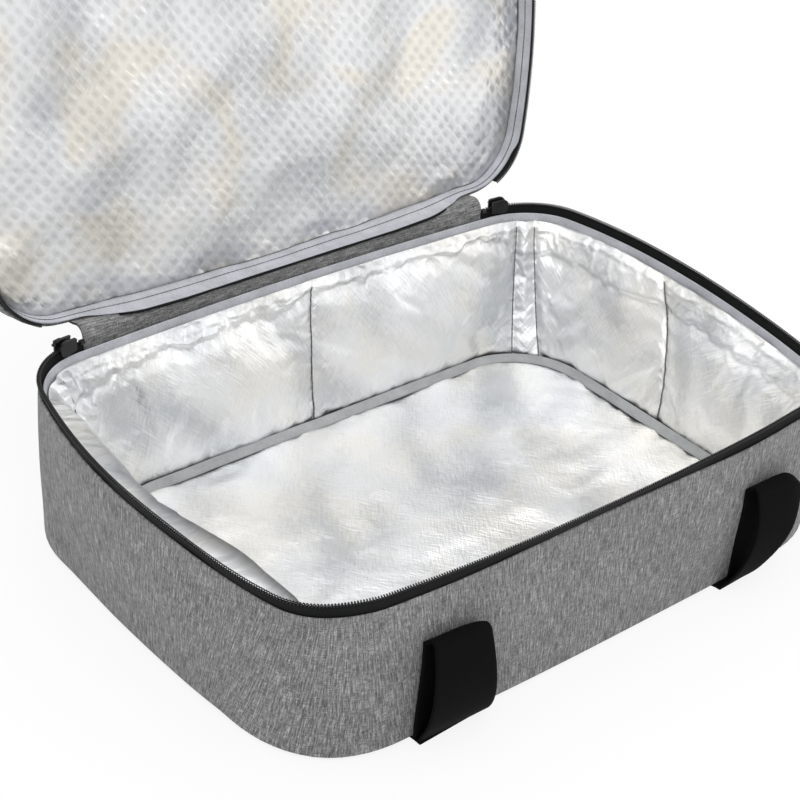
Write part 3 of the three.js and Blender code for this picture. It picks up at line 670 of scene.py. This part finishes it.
# Zip: woven tapes with a helical coil on each edge
def leaning(points, stations):
    """Leans the body's zip out from the wall's top to its free edge."""
    rise = ease(points[..., 2], 88, ZIP_PLANE)
    lean = stands(ZIP_LEANS, stations)[:, None] + TAPE_INSET
    moved = pushed(points, RIM, stations, lean * rise)
    return settled(moved, stations)


def tape_band(name, low, high, start, end, wave, to_lid):
    stations = even_stations(RIM, 3.0, start, end)
    inner, outer = TAPE_INSET + TAPE, TAPE_INSET
    rows = np.linspace(low, high, 8)
    section = [(outer, z) for z in rows] + [(inner, z) for z in rows[::-1]]
    points = swept(RIM, stations, section)
    push = noise(points * [1, 1, 0.2], 26, 11) * wave
    points = pushed(points, RIM, stations, push)
    points = opened(points) if to_lid else leaning(points, stations)
    return skin(name, points, tube=True)


def coil_wire(name, middle, start, end, to_lid):
    """Helical coil round the tape's edge: a thin wire, 8 points a turn."""
    pitch, wire, deep, tall = 1.55, 0.42, 1.0, 0.62
    turns = int(lengths(outline_points(RIM, np.linspace(start, end, FINE)))[-1] / pitch)
    fine = np.linspace(start, end, 6001)
    far = lengths(outline_points(RIM, fine, TAPE_INSET + TAPE / 2))
    s = np.interp(np.linspace(0, far[-1], turns * 8 + 1), far, fine)
    angle = np.arange(len(s)) * 2 * np.pi / 8
    flat = outline_points(RIM, s, TAPE_INSET + TAPE / 2)
    way = outward(RIM, s)
    centre = with_z(flat, middle)
    if not to_lid:
        centre = leaning(centre[:, None], s)[:, 0]
    centre[:, :2] += way * (np.cos(angle) * deep)[:, None]
    centre[:, 2] += np.sin(angle) * tall
    along = unit(np.gradient(centre, axis=0))
    up = unit(np.cross(along, with_z(way, 0.0)))
    side = np.cross(up, along)
    points = wire_rings(centre, wire, side, up, np.radians([0, 90, 180, 270]))
    if to_lid:
        points = opened(points)
    return skin(name, points, tube=True)


def zips():
    """Both halves of the zip, each a tape and a coil."""
    coil, tape = COIL_GAP / 2 + COIL_HIGH / 2, COIL_GAP / 2 + COIL_HIGH - TAPE_IN_COIL
    lid_end = 2 - LONG_SHARE - 0.085
    for name, solid, body, low, high, middle, end, spare in (
            ("tub", "body", "tub", TAPE_LOW + 1, ZIP_PLANE - tape, ZIP_PLANE - coil, ZIP_END, 0.01),
            ("cap", "lid", "lid", ZIP_PLANE + tape, LID_TAPE_HIGH, ZIP_PLANE + coil, lid_end, 0.0)):
        band = tape_band(f"zip_tape_{name}", low, high, -end, end, 0.35, body == "lid")
        piece(band, body, ZIP_TAPE, "zip_tape", f"zip_tape_{solid}")
        wire = coil_wire(f"zip_coil_{name}", middle, spare - end, end - spare, body == "lid")
        piece(wire, body, COIL, "zip_coil", f"zip_coil_{solid}")


def rim_binding():
    stations = even_stations(RIM, 3.0)
    low, high = RIM_TAPE_LOW - 0.4, RIM_TAPE_HIGH - 1.6
    section = arc(4.6, low + 0.8, 0.9, 0.8, 180, 360, 6)
    section += [(5.5 - 1.6 * t, low + 0.8 + (high - low - 1.6) * t) for t in np.linspace(0.1, 0.9, 8)]
    section += arc(3.4, high - 0.6, 0.5, 0.6, 0, 180, 6)
    section += [(2.9 + 0.8 * t, high - 0.8 - (high - low - 1.6) * t) for t in np.linspace(0.1, 0.9, 8)]
    points = swept(RIM, stations, section)
    fall = 1 - ease(points[..., 2], low, high)
    push = (noise(points * PLAN, 22, 21) * 1.0 + noise(points * PLAN, 9, 22) * 0.35) * fall
    points = pushed(points, RIM, stations, -push - 0.4 * fall)
    points[..., 2] += noise(points * PLAN, 30, 23) * 0.5 * fall
    points = settled(points, stations)
    made = skin("rim_binding", points, ring=True, tube=True)
    piece(made, "tub", RIM_BINDING, "rim_binding", "rim_tape")


# Lining
def seam_stations():
    """Where the lining's seams stand, in stations: two by each corner and one in each wall."""
    rate = (CORNER_SHARE - LONG_SHARE) / (FLOOR[2] * np.pi / 2)
    corner = (LONG_SHARE + CORNER_SHARE) / 2
    half = rate * CORNER_STRIP / 2
    middles = [0.0, 1.0, 2 - LONG_SHARE * BACK_SEAM_X / FLOOR_FLAT, 3.0]
    found = []
    for centre in (corner, 2 - corner, 2 + corner, 4 - corner):
        found += [centre - half, centre + half]
    return np.array(found), np.array(middles)


def lining_stations(step):
    """Stations of the wall lining, with one on every seam, and each one's distance to a seam, half the
    width of its panel, and whether that is a corner strip."""
    corners, middles = seam_stations()
    seams = np.sort(np.concatenate([corners, middles]))
    fine = np.linspace(seams[0], seams[0] + 4, FINE)
    far = lengths(outline_points(lining_outline(LINING_MIDDLE), fine))
    ends = np.interp(np.append(seams, seams[0] + 4), fine, far)
    places, gaps, halves, strips = [], [], [], []
    for low, high in zip(ends[:-1], ends[1:]):
        count = max(6, int(round((high - low) / step)))
        place = np.linspace(low, high, count + 1)[:-1]
        places.append(place)
        gaps.append(np.minimum(place - low, high - place))
        halves.append(np.full(count, (high - low) / 2))
        strips.append(np.full(count, high - low < 2 * CORNER_STRIP, float))
    stations = np.interp(np.concatenate(places), far, fine) % 4
    return stations, *(np.concatenate(rows)[:, None] for rows in (gaps, halves, strips))


def creased(points, cell, seed):
    """Folds with sharp ridges, from -1 to 1."""
    return 1 - 2.6 * np.abs(noise(points, cell, seed))


def between(values):
    """A ring of rows with one more row put between each two, on a smooth curve."""
    before, after, next_after = (np.roll(values, shift, 0) for shift in (1, -1, -2))
    middle = (9 * (values + after) - before - next_after) / 16
    return np.stack([values, middle], 1).reshape(-1, *values.shape[1:])


def finer(points):
    """A grid closed along its first way, with twice the rows and nearly twice the columns."""
    doubled = np.swapaxes(between(points), 0, 1)
    padded = np.concatenate([2 * doubled[:1] - doubled[1:2], doubled, 2 * doubled[-1:] - doubled[-2:-1]])
    before, here, after, next_after = padded[:-3], padded[1:-2], padded[2:-1], padded[3:]
    middle = (9 * (here + after) - before - next_after) / 16
    mixed_rows = np.stack([here, middle], 1).reshape(-1, *here.shape[1:])
    return np.swapaxes(np.concatenate([mixed_rows, doubled[-1:]]), 0, 1)


def cloth_moved(points, pinned, loose, pressure, spare, stiff, frames):
    """Where a grid of cloth goes when it swells between the points that hold it. It has spare length, as
    a share, of one amount where it is taut and of another where it is loose."""
    made = skin("cloth", points, ring=True, out=-1)
    held = made.vertex_groups.new(name="held")
    held.add(np.flatnonzero(pinned.ravel()).tolist(), 1.0, "REPLACE")
    cloth = made.modifiers.new("cloth", "CLOTH")
    cloth.point_cache.frame_start, cloth.point_cache.frame_end = 1, frames
    settings = dict(quality=6, mass=0.12, tension_stiffness=40, compression_stiffness=40,
                    shear_stiffness=20, bending_stiffness=stiff)
    slack = made.vertex_groups.new(name="slack")
    for level in range(1, 11):
        slack.add(np.flatnonzero(np.round(loose.ravel() * 10) == level).tolist(), level / 10, "REPLACE")
    settings |= dict(shrink_min=-spare[0], shrink_max=-spare[1], vertex_group_shrink="slack",
                     use_pressure=True, uniform_pressure_force=pressure, vertex_group_mass="held")
    for key, value in settings.items():
        setattr(cloth.settings, key, value)
    cloth.settings.effector_weights.gravity = 0
    for frame_number in range(1, frames + 1):
        bpy.context.scene.frame_set(frame_number)
    settled_mesh = made.evaluated_get(bpy.context.evaluated_depsgraph_get()).data
    found = np.empty(points.size, np.float32)
    settled_mesh.vertices.foreach_get("co", found)
    found = found.reshape(points.shape).astype(float) * 1000
    bpy.data.objects.remove(made)
    bpy.context.scene.frame_set(1)
    return found


def capped(start, moved, most):
    """Keeps each point within so many mm of where it started."""
    way = moved - start
    far = np.linalg.norm(way, axis=-1, keepdims=True)
    return start + way * np.minimum(1, most / np.maximum(far, 1e-9)) ** 0.8


def wall_lining():
    stations, gap, half, strip = lining_stations(2.6)
    levels = np.concatenate([np.linspace(FLOOR_LOW + 0.6, 79, 34), np.linspace(80, LINING_HIGH, 10)])
    columns = []
    for level in levels:
        share = (level - FLOOR_LOW) / (LINING_HIGH - FLOOR_LOW)
        lean = sum((foot + (head - foot) * share) * np.exp(-((stations - at) / 0.12) ** 2)
                   for at, foot, head in SEAM_LEANS)
        columns.append(with_z(outline_points(lining_outline(level), stations + lean, LINING), level))
    points = np.stack(columns, 1)
    mid = lining_outline(LINING_MIDDLE)
    roll = stands(ROLLS, stations)[:, None]
    z = levels[None, :]
    puff = 1 - np.exp(-(gap / 3.6) ** 1.3)
    tall = stands(RUFFLES, stations)[:, None]
    calm = 1 - 0.95 * stands(CALM, stations)[:, None]
    jag = 2.6 * noise(points * PLAN, (17, 17, 9), 42) + 1.6 * noise(points * PLAN, (6, 6, 9), 43)
    hem = LINING_HIGH - tall + jag
    rise = ease(z, 6.8, 13) * (1 - 0.7 * ease(z, hem - 8, hem))
    soft = fractal(points, (34, 34, 26), 41, 2)
    crown = 4.2 * np.sin(0.5 * np.pi * gap / half) * np.sin(np.pi * np.clip((z - 4) / 78, 0, 1)) ** 0.8
    panel = (puff * rise * (1.6 + 1.3 * soft) + crown) * (1 - strip)
    loose = ease(z, hem, hem + 4) * (1 - ease(z, 84, 87.5))
    loose = loose * (2.9 + 1.2 * noise(points, (24, 24, 40), 44)) * (0.4 + 0.6 * puff) * calm
    drop = LINING_HIGH - z
    bent = points.copy()
    bent[..., 0] += 3.0 * noise(points, (16, 16, 12), 45)
    bent[..., 1] += 3.0 * noise(points, (16, 16, 12), 46)
    bent = bent * [1, 1, 0.12]
    down = drop * 14 / tall
    gather = sum(high * creased(bent, cell, seed) * np.exp(-down / fade)
                 for high, cell, seed, fade in ((0.5, 5.0, 47, 7), (0.8, 9.0, 48, 11), (0.8, 18.0, 49, 16)))
    gather = gather * ease(drop, 0, 4) * (0.5 + 0.5 * puff) * calm
    foot = 0.8 * creased(points * [1, 1, 0.2], 7.0, 50) * np.exp(-(z - 6.8) / 7) * ease(z, 6.8, 9)
    foot = foot * (0.35 + 0.65 * np.exp(-gap / 18))
    corner = strip * np.sin(np.pi * np.clip(gap / CORNER_STRIP, 0, 0.5)) * ease(z, 6.8, 12)
    corner = corner * (1.8 + 0.25 * creased(points * [0.6, 0.6, 1], 12.0, 51))
    swell = roll * ease(z, 30, 80) * (1 - ease(z, 83, 88)) * (1 + 0.12 * noise(points, (30, 30, 60), 54))
    points[..., 2] += roll * 0.2 * np.exp(-((z - 84.5) / 2.6) ** 2)
    start = pushed(points, mid, stations, -(panel + loose + gather + foot + corner + swell))
    pinned = (gap < 0.01) | (z < levels[1]) | (z > levels[-2])
    free = np.clip(0.9 * ease(z, hem - 5, hem + 3) * calm + 0.15 * strip, 0, 1)
    moved = cloth_moved(start, pinned, free, pressure=2.6, spare=(0.006, 0.035), stiff=0.35,
                        frames=20)
    start = capped(start, moved, most=4.0)
    fine = finer(start)
    wide_gap = between(gap)
    row = np.interp(np.arange(fine.shape[1]) / 2, np.arange(len(levels)), levels)[None, :]
    stitched = np.exp(-wide_gap / 3.6) * creased(fine * [0.3, 0.3, 1], 4.2, 52)
    fans = creased(fine * [1, 1, 0.3] + 2 * np.stack([noise(fine, 9, 55)] * 3, -1), 6.0, 56)
    at_top = ease(row, 84 - between(tall), 92 - between(tall)) * between(calm)
    crumple = creased(fine, 7.0, 53) * (0.05 + 0.1 * at_top + 0.08 * between(strip))
    crumple = crumple + 0.45 * fans * at_top + 0.14 * creased(fine, 22.0, 57) * between(calm)
    crumple = crumple * ease(row, 7, 12) * (1 - ease(row, 85, 88)) * (1 - np.exp(-wide_gap / 2))
    stations = between(np.unwrap(stations, period=4) - 4 * np.arange(len(stations)) / len(stations))
    stations = (stations + 4 * np.arange(len(stations)) / len(stations)) % 4
    fine = pushed(fine, mid, stations, 0.4 * stitched - crumple)
    fine = settled(fine, stations)
    made = skin("wall_lining", fine, ring=True, out=-1)
    # Painted shade under the roll over the left wall: darker towards the roll's lower rows, kept for the
    # foil's colour
    painted_roll_shade = (1 - between(calm)) * between((roll > 1) * 1.0) * (1 - ease(row, 83, 87.6))
    layer = made.data.attributes.new("painted_roll_shade", "FLOAT", "POINT")
    layer.data.foreach_set("value", np.clip(painted_roll_shade, 0, 1).astype(np.float32).ravel())
    at_seams = np.flatnonzero(wide_gap[:, 0] < 0.01)
    middle = np.array([0, 0, LINING_MIDDLE])
    paths = []
    for row_number in at_seams:
        path = fine[row_number, 1:-7 if between(roll)[row_number] < 2 else -24]
        paths.append(path + 0.35 * unit(middle - path))
    stitched_lines("lining_stitches", paths, 0.36, "tub", "foil_lining")
    foams = [f"foam_{a}_{b}" for a, b in PANELS]
    foils = [f"foil_{a}_{b}" for a, b in PANELS] + [f"foil_corner_{c}" for c in CORNERS]
    piece(made, "tub", FOIL, "foil_lining", *foils, *foams)


PANELS = [("front", "left"), ("front", "right"), ("right", "front"), ("right", "back"),
          ("back", "right"), ("back", "left"), ("left", "back"), ("left", "front")]
CORNERS = ["front_right", "back_right", "back_left", "front_left"]


def foil_floor():
    flat, points, edge = disc(FLOOR, 0.3, 3.0, 40)
    wave = fractal(points, (44, 34, 30), 51, 3) * 1.1 + creased(points, (30, 24, 30), 58) * 0.3
    pucker = creased(points, 8.0, 52) * 0.7 * ease(edge, 0.84, 0.96)
    points[..., 2] = FLOOR_TOP + 0.4 + (wave + pucker) * (1 - ease(edge, 0.93, 0.97))
    points[..., 2] -= 0.3 * ease(edge, 0.9, 0.96)
    made = skin("floor_foil", points, ring=True, merge=True, flat=flat)
    piece(made, "tub", FOIL, "foil_lining", "foil_floor")


def floor_binding():
    stations = even_stations(FLOOR, 3.0)
    section = [(0.3, 0.3), (0.2, 1.6), (0.5, 2.8), (1.2, 3.4), (2.2, 3.5), (3.6, 3.0), (5.2, 2.4),
               (6.6, 2.1), (7.6, 1.6), (8.0, 0.8), (7.6, 0.3), (4.0, 0.2)]
    points = swept(FLOOR, stations, [(depth, FLOOR_TOP + z) for depth, z in section])
    push = noise(points * PLAN, 26, 61) * 0.4
    points = pushed(points, FLOOR, stations, push)
    made = skin("floor_binding", points, ring=True, tube=True)
    edge = np.append(points[:, 1], points[:1, 1], 0) + [0, 0, 0.6]
    stitched_lines("floor_binding_stitches", [edge], 0.42, "tub", "floor_binding")
    piece(made, "tub", FLOOR_BINDING, "floor_binding", "floor_tape")


# Lid, drawn shut and turned open
def lid_pieces():
    stations = even_stations(RIM, 4.0)
    section = [(CLOTH, 110.0)]
    section += [(CLOTH / 2 - x, z) for x, z in arc(0, LID_BAND_LOW + 0.7, 0.7, 0.7, 180, 360, 7)]
    section += [(0.0, z) for z in np.linspace(109, 117.6, 6)]
    section += [(0.5, 118.6), (1.1, 119.0), (1.4, 119.3)]
    points = swept(RIM, stations, section)
    points = pushed(points, RIM, stations, noise(points, (40, 40, 20), 71) * 0.5)
    side = skin("lid_side", opened(points), ring=True)
    piece(side, "lid", HEATHER, "heather_cloth", "lid_band")

    flat, points, edge = disc(RIM, 0.0, 4.0, 44)
    dome = 2.6 * (1 - edge ** 4) - 2.4 * ease(edge, 0.955, 1.0) ** 2
    points[..., 2] = LID_TOP + dome + noise(points, 70, 72) * 0.8 * (1 - edge ** 6)
    top = skin("lid_top", opened(points), ring=True, merge=True, flat=flat)
    piece(top, "lid", HEATHER, "heather_cloth", "lid_panel", "lid_foam")

    flat, points, edge = disc(RIM, 3.4, 4.0, 60)
    puff = 2.4 * (1 - edge ** 5)
    wave = fractal(points, (46, 38, 38), 73, 3) * 1.5
    pucker = noise(points, 9, 74) * 1.0 * ease(edge, 0.75, 0.95)
    points[..., 2] = LID_FOIL - 0.3 - puff - (wave + pucker) * (1 - ease(edge, 0.975, 1.0))
    lining = skin("lid_lining", opened(points), ring=True, out=-1, merge=True, flat=flat)
    piece(lining, "lid", LID_FOIL_LOOK, "foil_lining", "lid_foil")

    stations = even_stations(RIM, 3.0)
    # The facing's section round the lid, and by the hinge, where it reaches down as a flap: there the
    # heights are shares of the flap's own, which stays clear of the folded cloth
    section = [(2.7, 102.2), (2.75, 101.9), (3.1, 101.9), (3.2, 102.3), (3.25, 103.6), (3.7, 105.0),
               (4.2, 107.0), (4.6, 109.0), (4.9, 111.0), (5.1, 112.6), (3.4, 112.8), (3.0, 110.0),
               (2.8, 106.0)]
    at_hinge = [(1.7, 0.2), (1.75, 0.0), (2.1, 0.0), (2.2, 0.3), (2.3, 0.3), (2.9, 0.45), (3.7, 0.6),
                (4.4, 0.75), (4.9, 0.88), (5.1, 1.0), (3.4, 1.0), (2.6, 0.75), (1.9, 0.3)]
    mirrored = np.minimum(stations, 4 - stations)[:, None, None]
    along_back = ease(mirrored, 1.625, 1.73)
    flap = swept(RIM, stations, at_hinge)
    away = HINGE_Y - flap[:, :1, 1:2]
    low = ZIP_PLANE + np.clip((1.0 - 0.93 * away) / 0.36, -5.4, -1.1)
    flap[..., 2:] = low + (112.6 - low) * flap[..., 2:]
    points = swept(RIM, stations, section)
    by_slider = (ease(mirrored, 1.34, 1.39) * (1 - ease(mirrored, 1.64, 1.66)))[..., 0]
    points[..., 2] += by_slider * np.maximum(104.4 - points[..., 2], 0)
    points = points * (1 - along_back) + flap * along_back
    push = noise(points * PLAN, 20, 75) * 0.6 * ease(points[..., 2], 104, 108)
    points = pushed(points, RIM, stations, -push)
    facing = skin("lid_binding", opened(points), ring=True, tube=True)
    piece(facing, "lid", RIM_BINDING, "rim_binding", "lid_facing")
    lines = opened(points)[:, [6, 9]]
    lines = [np.append(lines[:, k], lines[:1, k], 0) for k in range(2)]
    stitched_lines("lid_binding_stitches", lines, 0.4, "lid", "rim_binding")
    # A black cord in zip tape along the flap's lower edge: painted shadow of the crease under the flap
    at_flap = opened(points[(stations > 1.68) & (stations < 2.32)])[:, 1] + [0, -0.4, -0.6]
    stitched_lines("lid_flap_painted_shadow", [at_flap], 0.9, "lid", "rim_binding", 60.0, ZIP_TAPE)


# Heights of the shut hinge cloth between which it folds
FOLD = (95.6, 102.6)


def hinge_strip():
    """Cloth hinge, bent round the line that the lid turns about."""
    end = 2 - LONG_SHARE * HINGE_HALF / RIM_FLAT
    stations = even_stations(RIM, 3.5, end, 4 - end)
    heights = np.linspace(88.5, 109.0, 28)
    section = [(0.0, z) for z in heights] + [(CLOTH, z) for z in heights[::-1]]
    points = swept(RIM, stations, section)
    crumple = noise(points * [1, 1, 0.6], (14, 14, 5), 81) * 0.5 * np.exp(-((points[..., 2] - 99) / 5) ** 2)
    points = opened(points, ease(points[..., 2], *FOLD), crumple)
    grain = np.stack(np.broadcast_arrays(lengths(points[0])[None, :], lengths(points[:, 0])[:, None]), -1)
    made = skin("hinge_cloth", points, tube=True, flat=grain)
    piece(made, None, HEATHER, "heather_cloth", "hinge_leaf_body", "hinge_leaf_lid")
    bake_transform(made)


# Webbing
def webbing_band(name, path, across, width=WEBBING, droop=0.0):
    """A flat strap along a path of points, its width along the across vectors; its far edge may droop."""
    along = unit(np.gradient(path, axis=0))
    across = unit(across)
    normal = unit(np.cross(along, across))
    width = np.broadcast_to(width, len(path))[:, None]
    a = np.linspace(-1, 1, 17)
    half, edge = (width - WEBBING_THICK) / 2, WEBBING_THICK / 2
    top = [(x, 0, edge) for x in a]
    right = [(1, edge * cos(t), edge * sin(t)) for t in np.radians([45, 0, -45])]
    bottom = [(x, 0, -edge) for x in a[::-1]]
    left = [(-1, -edge * cos(t), edge * sin(t)) for t in np.radians([-45, 0, 45])]
    share, beyond, rise = np.array(top + right + bottom + left).T
    flat = path[:, None] + (share * half + beyond)[..., None] * across[:, None]
    points = flat + rise[None, :, None] * normal[:, None]
    lowered = np.broadcast_to(droop, len(path))[:, None] * np.clip((share - 0.3) / 0.7, 0, 1)[None, :] ** 2
    points[..., 2] -= lowered
    flat[..., 2] -= lowered
    points = np.concatenate([flat[:1], points, flat[-1:]])
    return skin(name, points, tube=True)


def wall_depth(x, z, face):
    """How far from the middle the wall's outer face is, at a place on a long side."""
    outline = body_outline(z)
    cx = outline[0] / 2 - outline[4] - outline[2]
    share = LONG_SHARE * min(abs(x) / cx, 0.999) * (1 if x > 0 else -1)
    station = np.array([(share if face < 0 else 2 - share) % 4])
    point = with_z(outline_points(outline, station)[:, None], z)
    point = settled(pushed(point, RIM, station, wall_swell(point)), station)
    return abs(point[0, 0, 1])


def tilted(path, tilt, width):
    """Lifts a strap's path by its tilt, and gives the way across it."""
    path[:, 2] += tilt * width / 2
    return np.stack([np.ones(len(tilt)), 0 * tilt, -tilt], -1)


def handle(end, face):
    for k, side in enumerate(("left", "right")):
        x = (-STRAP_X, STRAP_X)[k] + STRAP_SHIFT[k]
        head = STRAP_TOP + LEG_RAISE[k]
        z = np.linspace(2.9, head, 24)
        depth = np.array([max(wall_depth(w, h, face) for w in (x - WEBBING / 2, x, x + WEBBING / 2))
                          for h in z]) + 0.9
        path = np.stack([np.full(24, x), face * np.maximum(depth, STRAP_Y - 0.5), z], -1)
        shift = max(depth[-1] - STRAP_Y, 0)
        across = tilted(path, LEG_TILT[k] * ease(z, 20, head), WEBBING)
        strap = webbing_band(f"webbing_strap_{end}_{side}", path, across,
                             droop=LEG_DROOP[k] * ease(z, 20, head))
        piece(strap, "tub", WEBBING_CLOTH, "webbing", f"strap_{end}_{side}")

        turns = np.radians(np.linspace(0, 180, 15))[:-1]
        inside, half = FOLD_Y - FOLD_RADIUS, FOLD_WIDTH / 2
        places = [(inside + half - half * cos(t), head + half * sin(t)) for t in turns]
        outside, drop = inside + FOLD_WIDTH, head - GRIP_Z
        knots = np.array([(outside, head), (outside + 7.5, head - drop * 0.4),
                          (outside + 3.0, GRIP_Z + 9), (TUCK_Y, GRIP_Z)])
        t = np.linspace(0, 1, 30)[:, None]
        curve = ((1 - t) ** 3 * knots[0] + 3 * t * (1 - t) ** 2 * knots[1]
                 + 3 * t * t * (1 - t) * knots[2] + t ** 3 * knots[3])
        places = np.concatenate([places, curve])
        share = np.clip((head - places[:, 1]) / drop, 0, 1)
        path = np.stack([x + LEG_DRIFT[k] * share ** 2,
                         face * (places[:, 0] + shift * (1 - share ** 3)), places[:, 1]], -1)
        wide = WEBBING + LEG_FLARE[k] * share
        across = tilted(path, LEG_TILT[k] * (1 - ease(share, 0.93, 1.0)), wide)
        leg = webbing_band(f"webbing_leg_{end}_{side}", path, across, width=wide,
                           droop=LEG_DROOP[k] * (1 - ease(share, 0.2, 0.85)))
        piece(leg, None, WEBBING_CLOTH, "webbing", f"handle_leg_{end}_{side}")
        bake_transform(leg)
    flat = grip_path(face, TUCK_Y + 1.0)
    far = lengths(flat)
    marks = np.linspace(0, far[-1], 110)
    path = with_z(np.stack([np.interp(marks, far, flat[:, k]) for k in (0, 1)], -1), GRIP_Z)
    wide = np.full(110, WEBBING)
    for k, foot in enumerate((marks, marks[-1] - marks)):
        near = 1 - ease(foot, 0, 45)
        path[:, 0] += (LEG_DRIFT[k] + STRAP_SHIFT[k] - GRIP_DRIFT[k]) * near
        wide = wide + LEG_FLARE[k] * near
    along = np.gradient(path, axis=0)
    across = np.cross((0, 0, 1), along)
    grip = webbing_band(f"webbing_grip_{end}", path, across, width=wide)
    piece(grip, f"{end}_grip", WEBBING_CLOTH, "webbing", f"handle_grip_{end}")


tub_wall()
tub_base()
zips()
rim_binding()
wall_lining()
foil_floor()
floor_binding()
lid_pieces()
hinge_strip()
handle("front", -1)
handle("back", 1)
for kind, look in (("slider", SLIDER), ("pull", SLIDER), ("zip_stop", COIL)):
    for side in ("left", "right"):
        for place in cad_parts[f"{kind}_{side}"].material_slots:
            place.material = look


# Stage, light and camera
def stage():
    half = 6.0
    points = np.array([[[-half, -half, 0], [-half, half, 0]], [[half, -half, 0], [half, half, 0]]]) * 1000
    floor = skin("floor", points, out=1)
    material, tree = new_material("floor")
    plain = shader(tree, Base_Color=(0.93, 0.93, 0.93, 1), Roughness=0.9, Specular_IOR_Level=0.0)
    glow = node(tree, "Emission", {"Color": (1, 1, 1, 1), "Strength": 1.0})
    path = node(tree, "LightPath")
    seen = maths(tree, "MAXIMUM", path.outputs["Is Camera Ray"], path.outputs["Is Glossy Ray"])
    seen = maths(tree, "MAXIMUM", seen, path.outputs["Is Transmission Ray"])
    glowing = maths(tree, "MULTIPLY", seen, 0.84)
    both = node(tree, "MixShader", {0: glowing, 1: plain.outputs[0], 2: glow.outputs[0]})
    tree.links.new(both.outputs[0], tree.nodes["Material Output"].inputs[0])
    floor.data.materials.append(material)
    world = bpy.data.worlds.new("world")
    world.use_nodes = True
    bpy.context.scene.world = world
    tree = world.node_tree
    way = node(tree, "TexCoord").outputs["Generated"]
    patches = node(tree, "TexNoise", {"Vector": way, "Scale": 2.2, "Detail": 1.0}).outputs[0]
    room = remap(tree, patches, 0.36, 0.64, 0.3, 1.0)
    path = node(tree, "LightPath")
    strength = maths(tree, "MAXIMUM", room, path.outputs["Is Camera Ray"])
    tree.links.new(strength, tree.nodes["Background"].inputs[1])
    tree.nodes["Background"].inputs[0].default_value = (1, 1, 1, 1)


def lamp(name, place, target, size, watts):
    data = bpy.data.lights.new(name, "AREA")
    data.energy = watts
    data.shape = "RECTANGLE"
    data.size, data.size_y = size
    made = new_object(name, data)
    made.location = place
    way = Vector(target) - Vector(place)
    made.rotation_euler = way.to_track_quat("-Z", "Y").to_euler()


def camera():
    azimuth, elevation, roll = radians(-42.11), radians(32.19), radians(4.66)
    target, distance = Vector((0.01272, 0.05023, 0.04825)), 1.2027
    back = Vector((sin(azimuth) * cos(elevation), -cos(azimuth) * cos(elevation),
                   sin(elevation)))
    right = (-back).cross(Vector((0, 0, 1))).normalized()
    up = right.cross(-back)
    turned = right * cos(roll) + up * sin(roll)
    upright = -right * sin(roll) + up * cos(roll)
    data = bpy.data.cameras.new("camera")
    data.sensor_width = 36
    data.lens = 91.39
    data.clip_end = 50
    made = new_object("camera", data)
    made.matrix_world = Matrix.Translation(target + back * distance) @ Matrix(
        (turned, upright, back)).transposed().to_4x4()
    bpy.context.scene.camera = made


stage()
lamp("key", (-0.9, -1.1, 2.2), (0, 0, 0.05), (3.0, 3.0), 26)
lamp("fill", (1.8, -0.6, 1.4), (0, 0, 0.1), (2.2, 2.2), 9)
lamp("top", (0.3, 0.9, 2.4), (0, 0, 0.05), (3.0, 2.2), 18)
camera()
bpy.context.scene.view_settings.view_transform = "Standard"
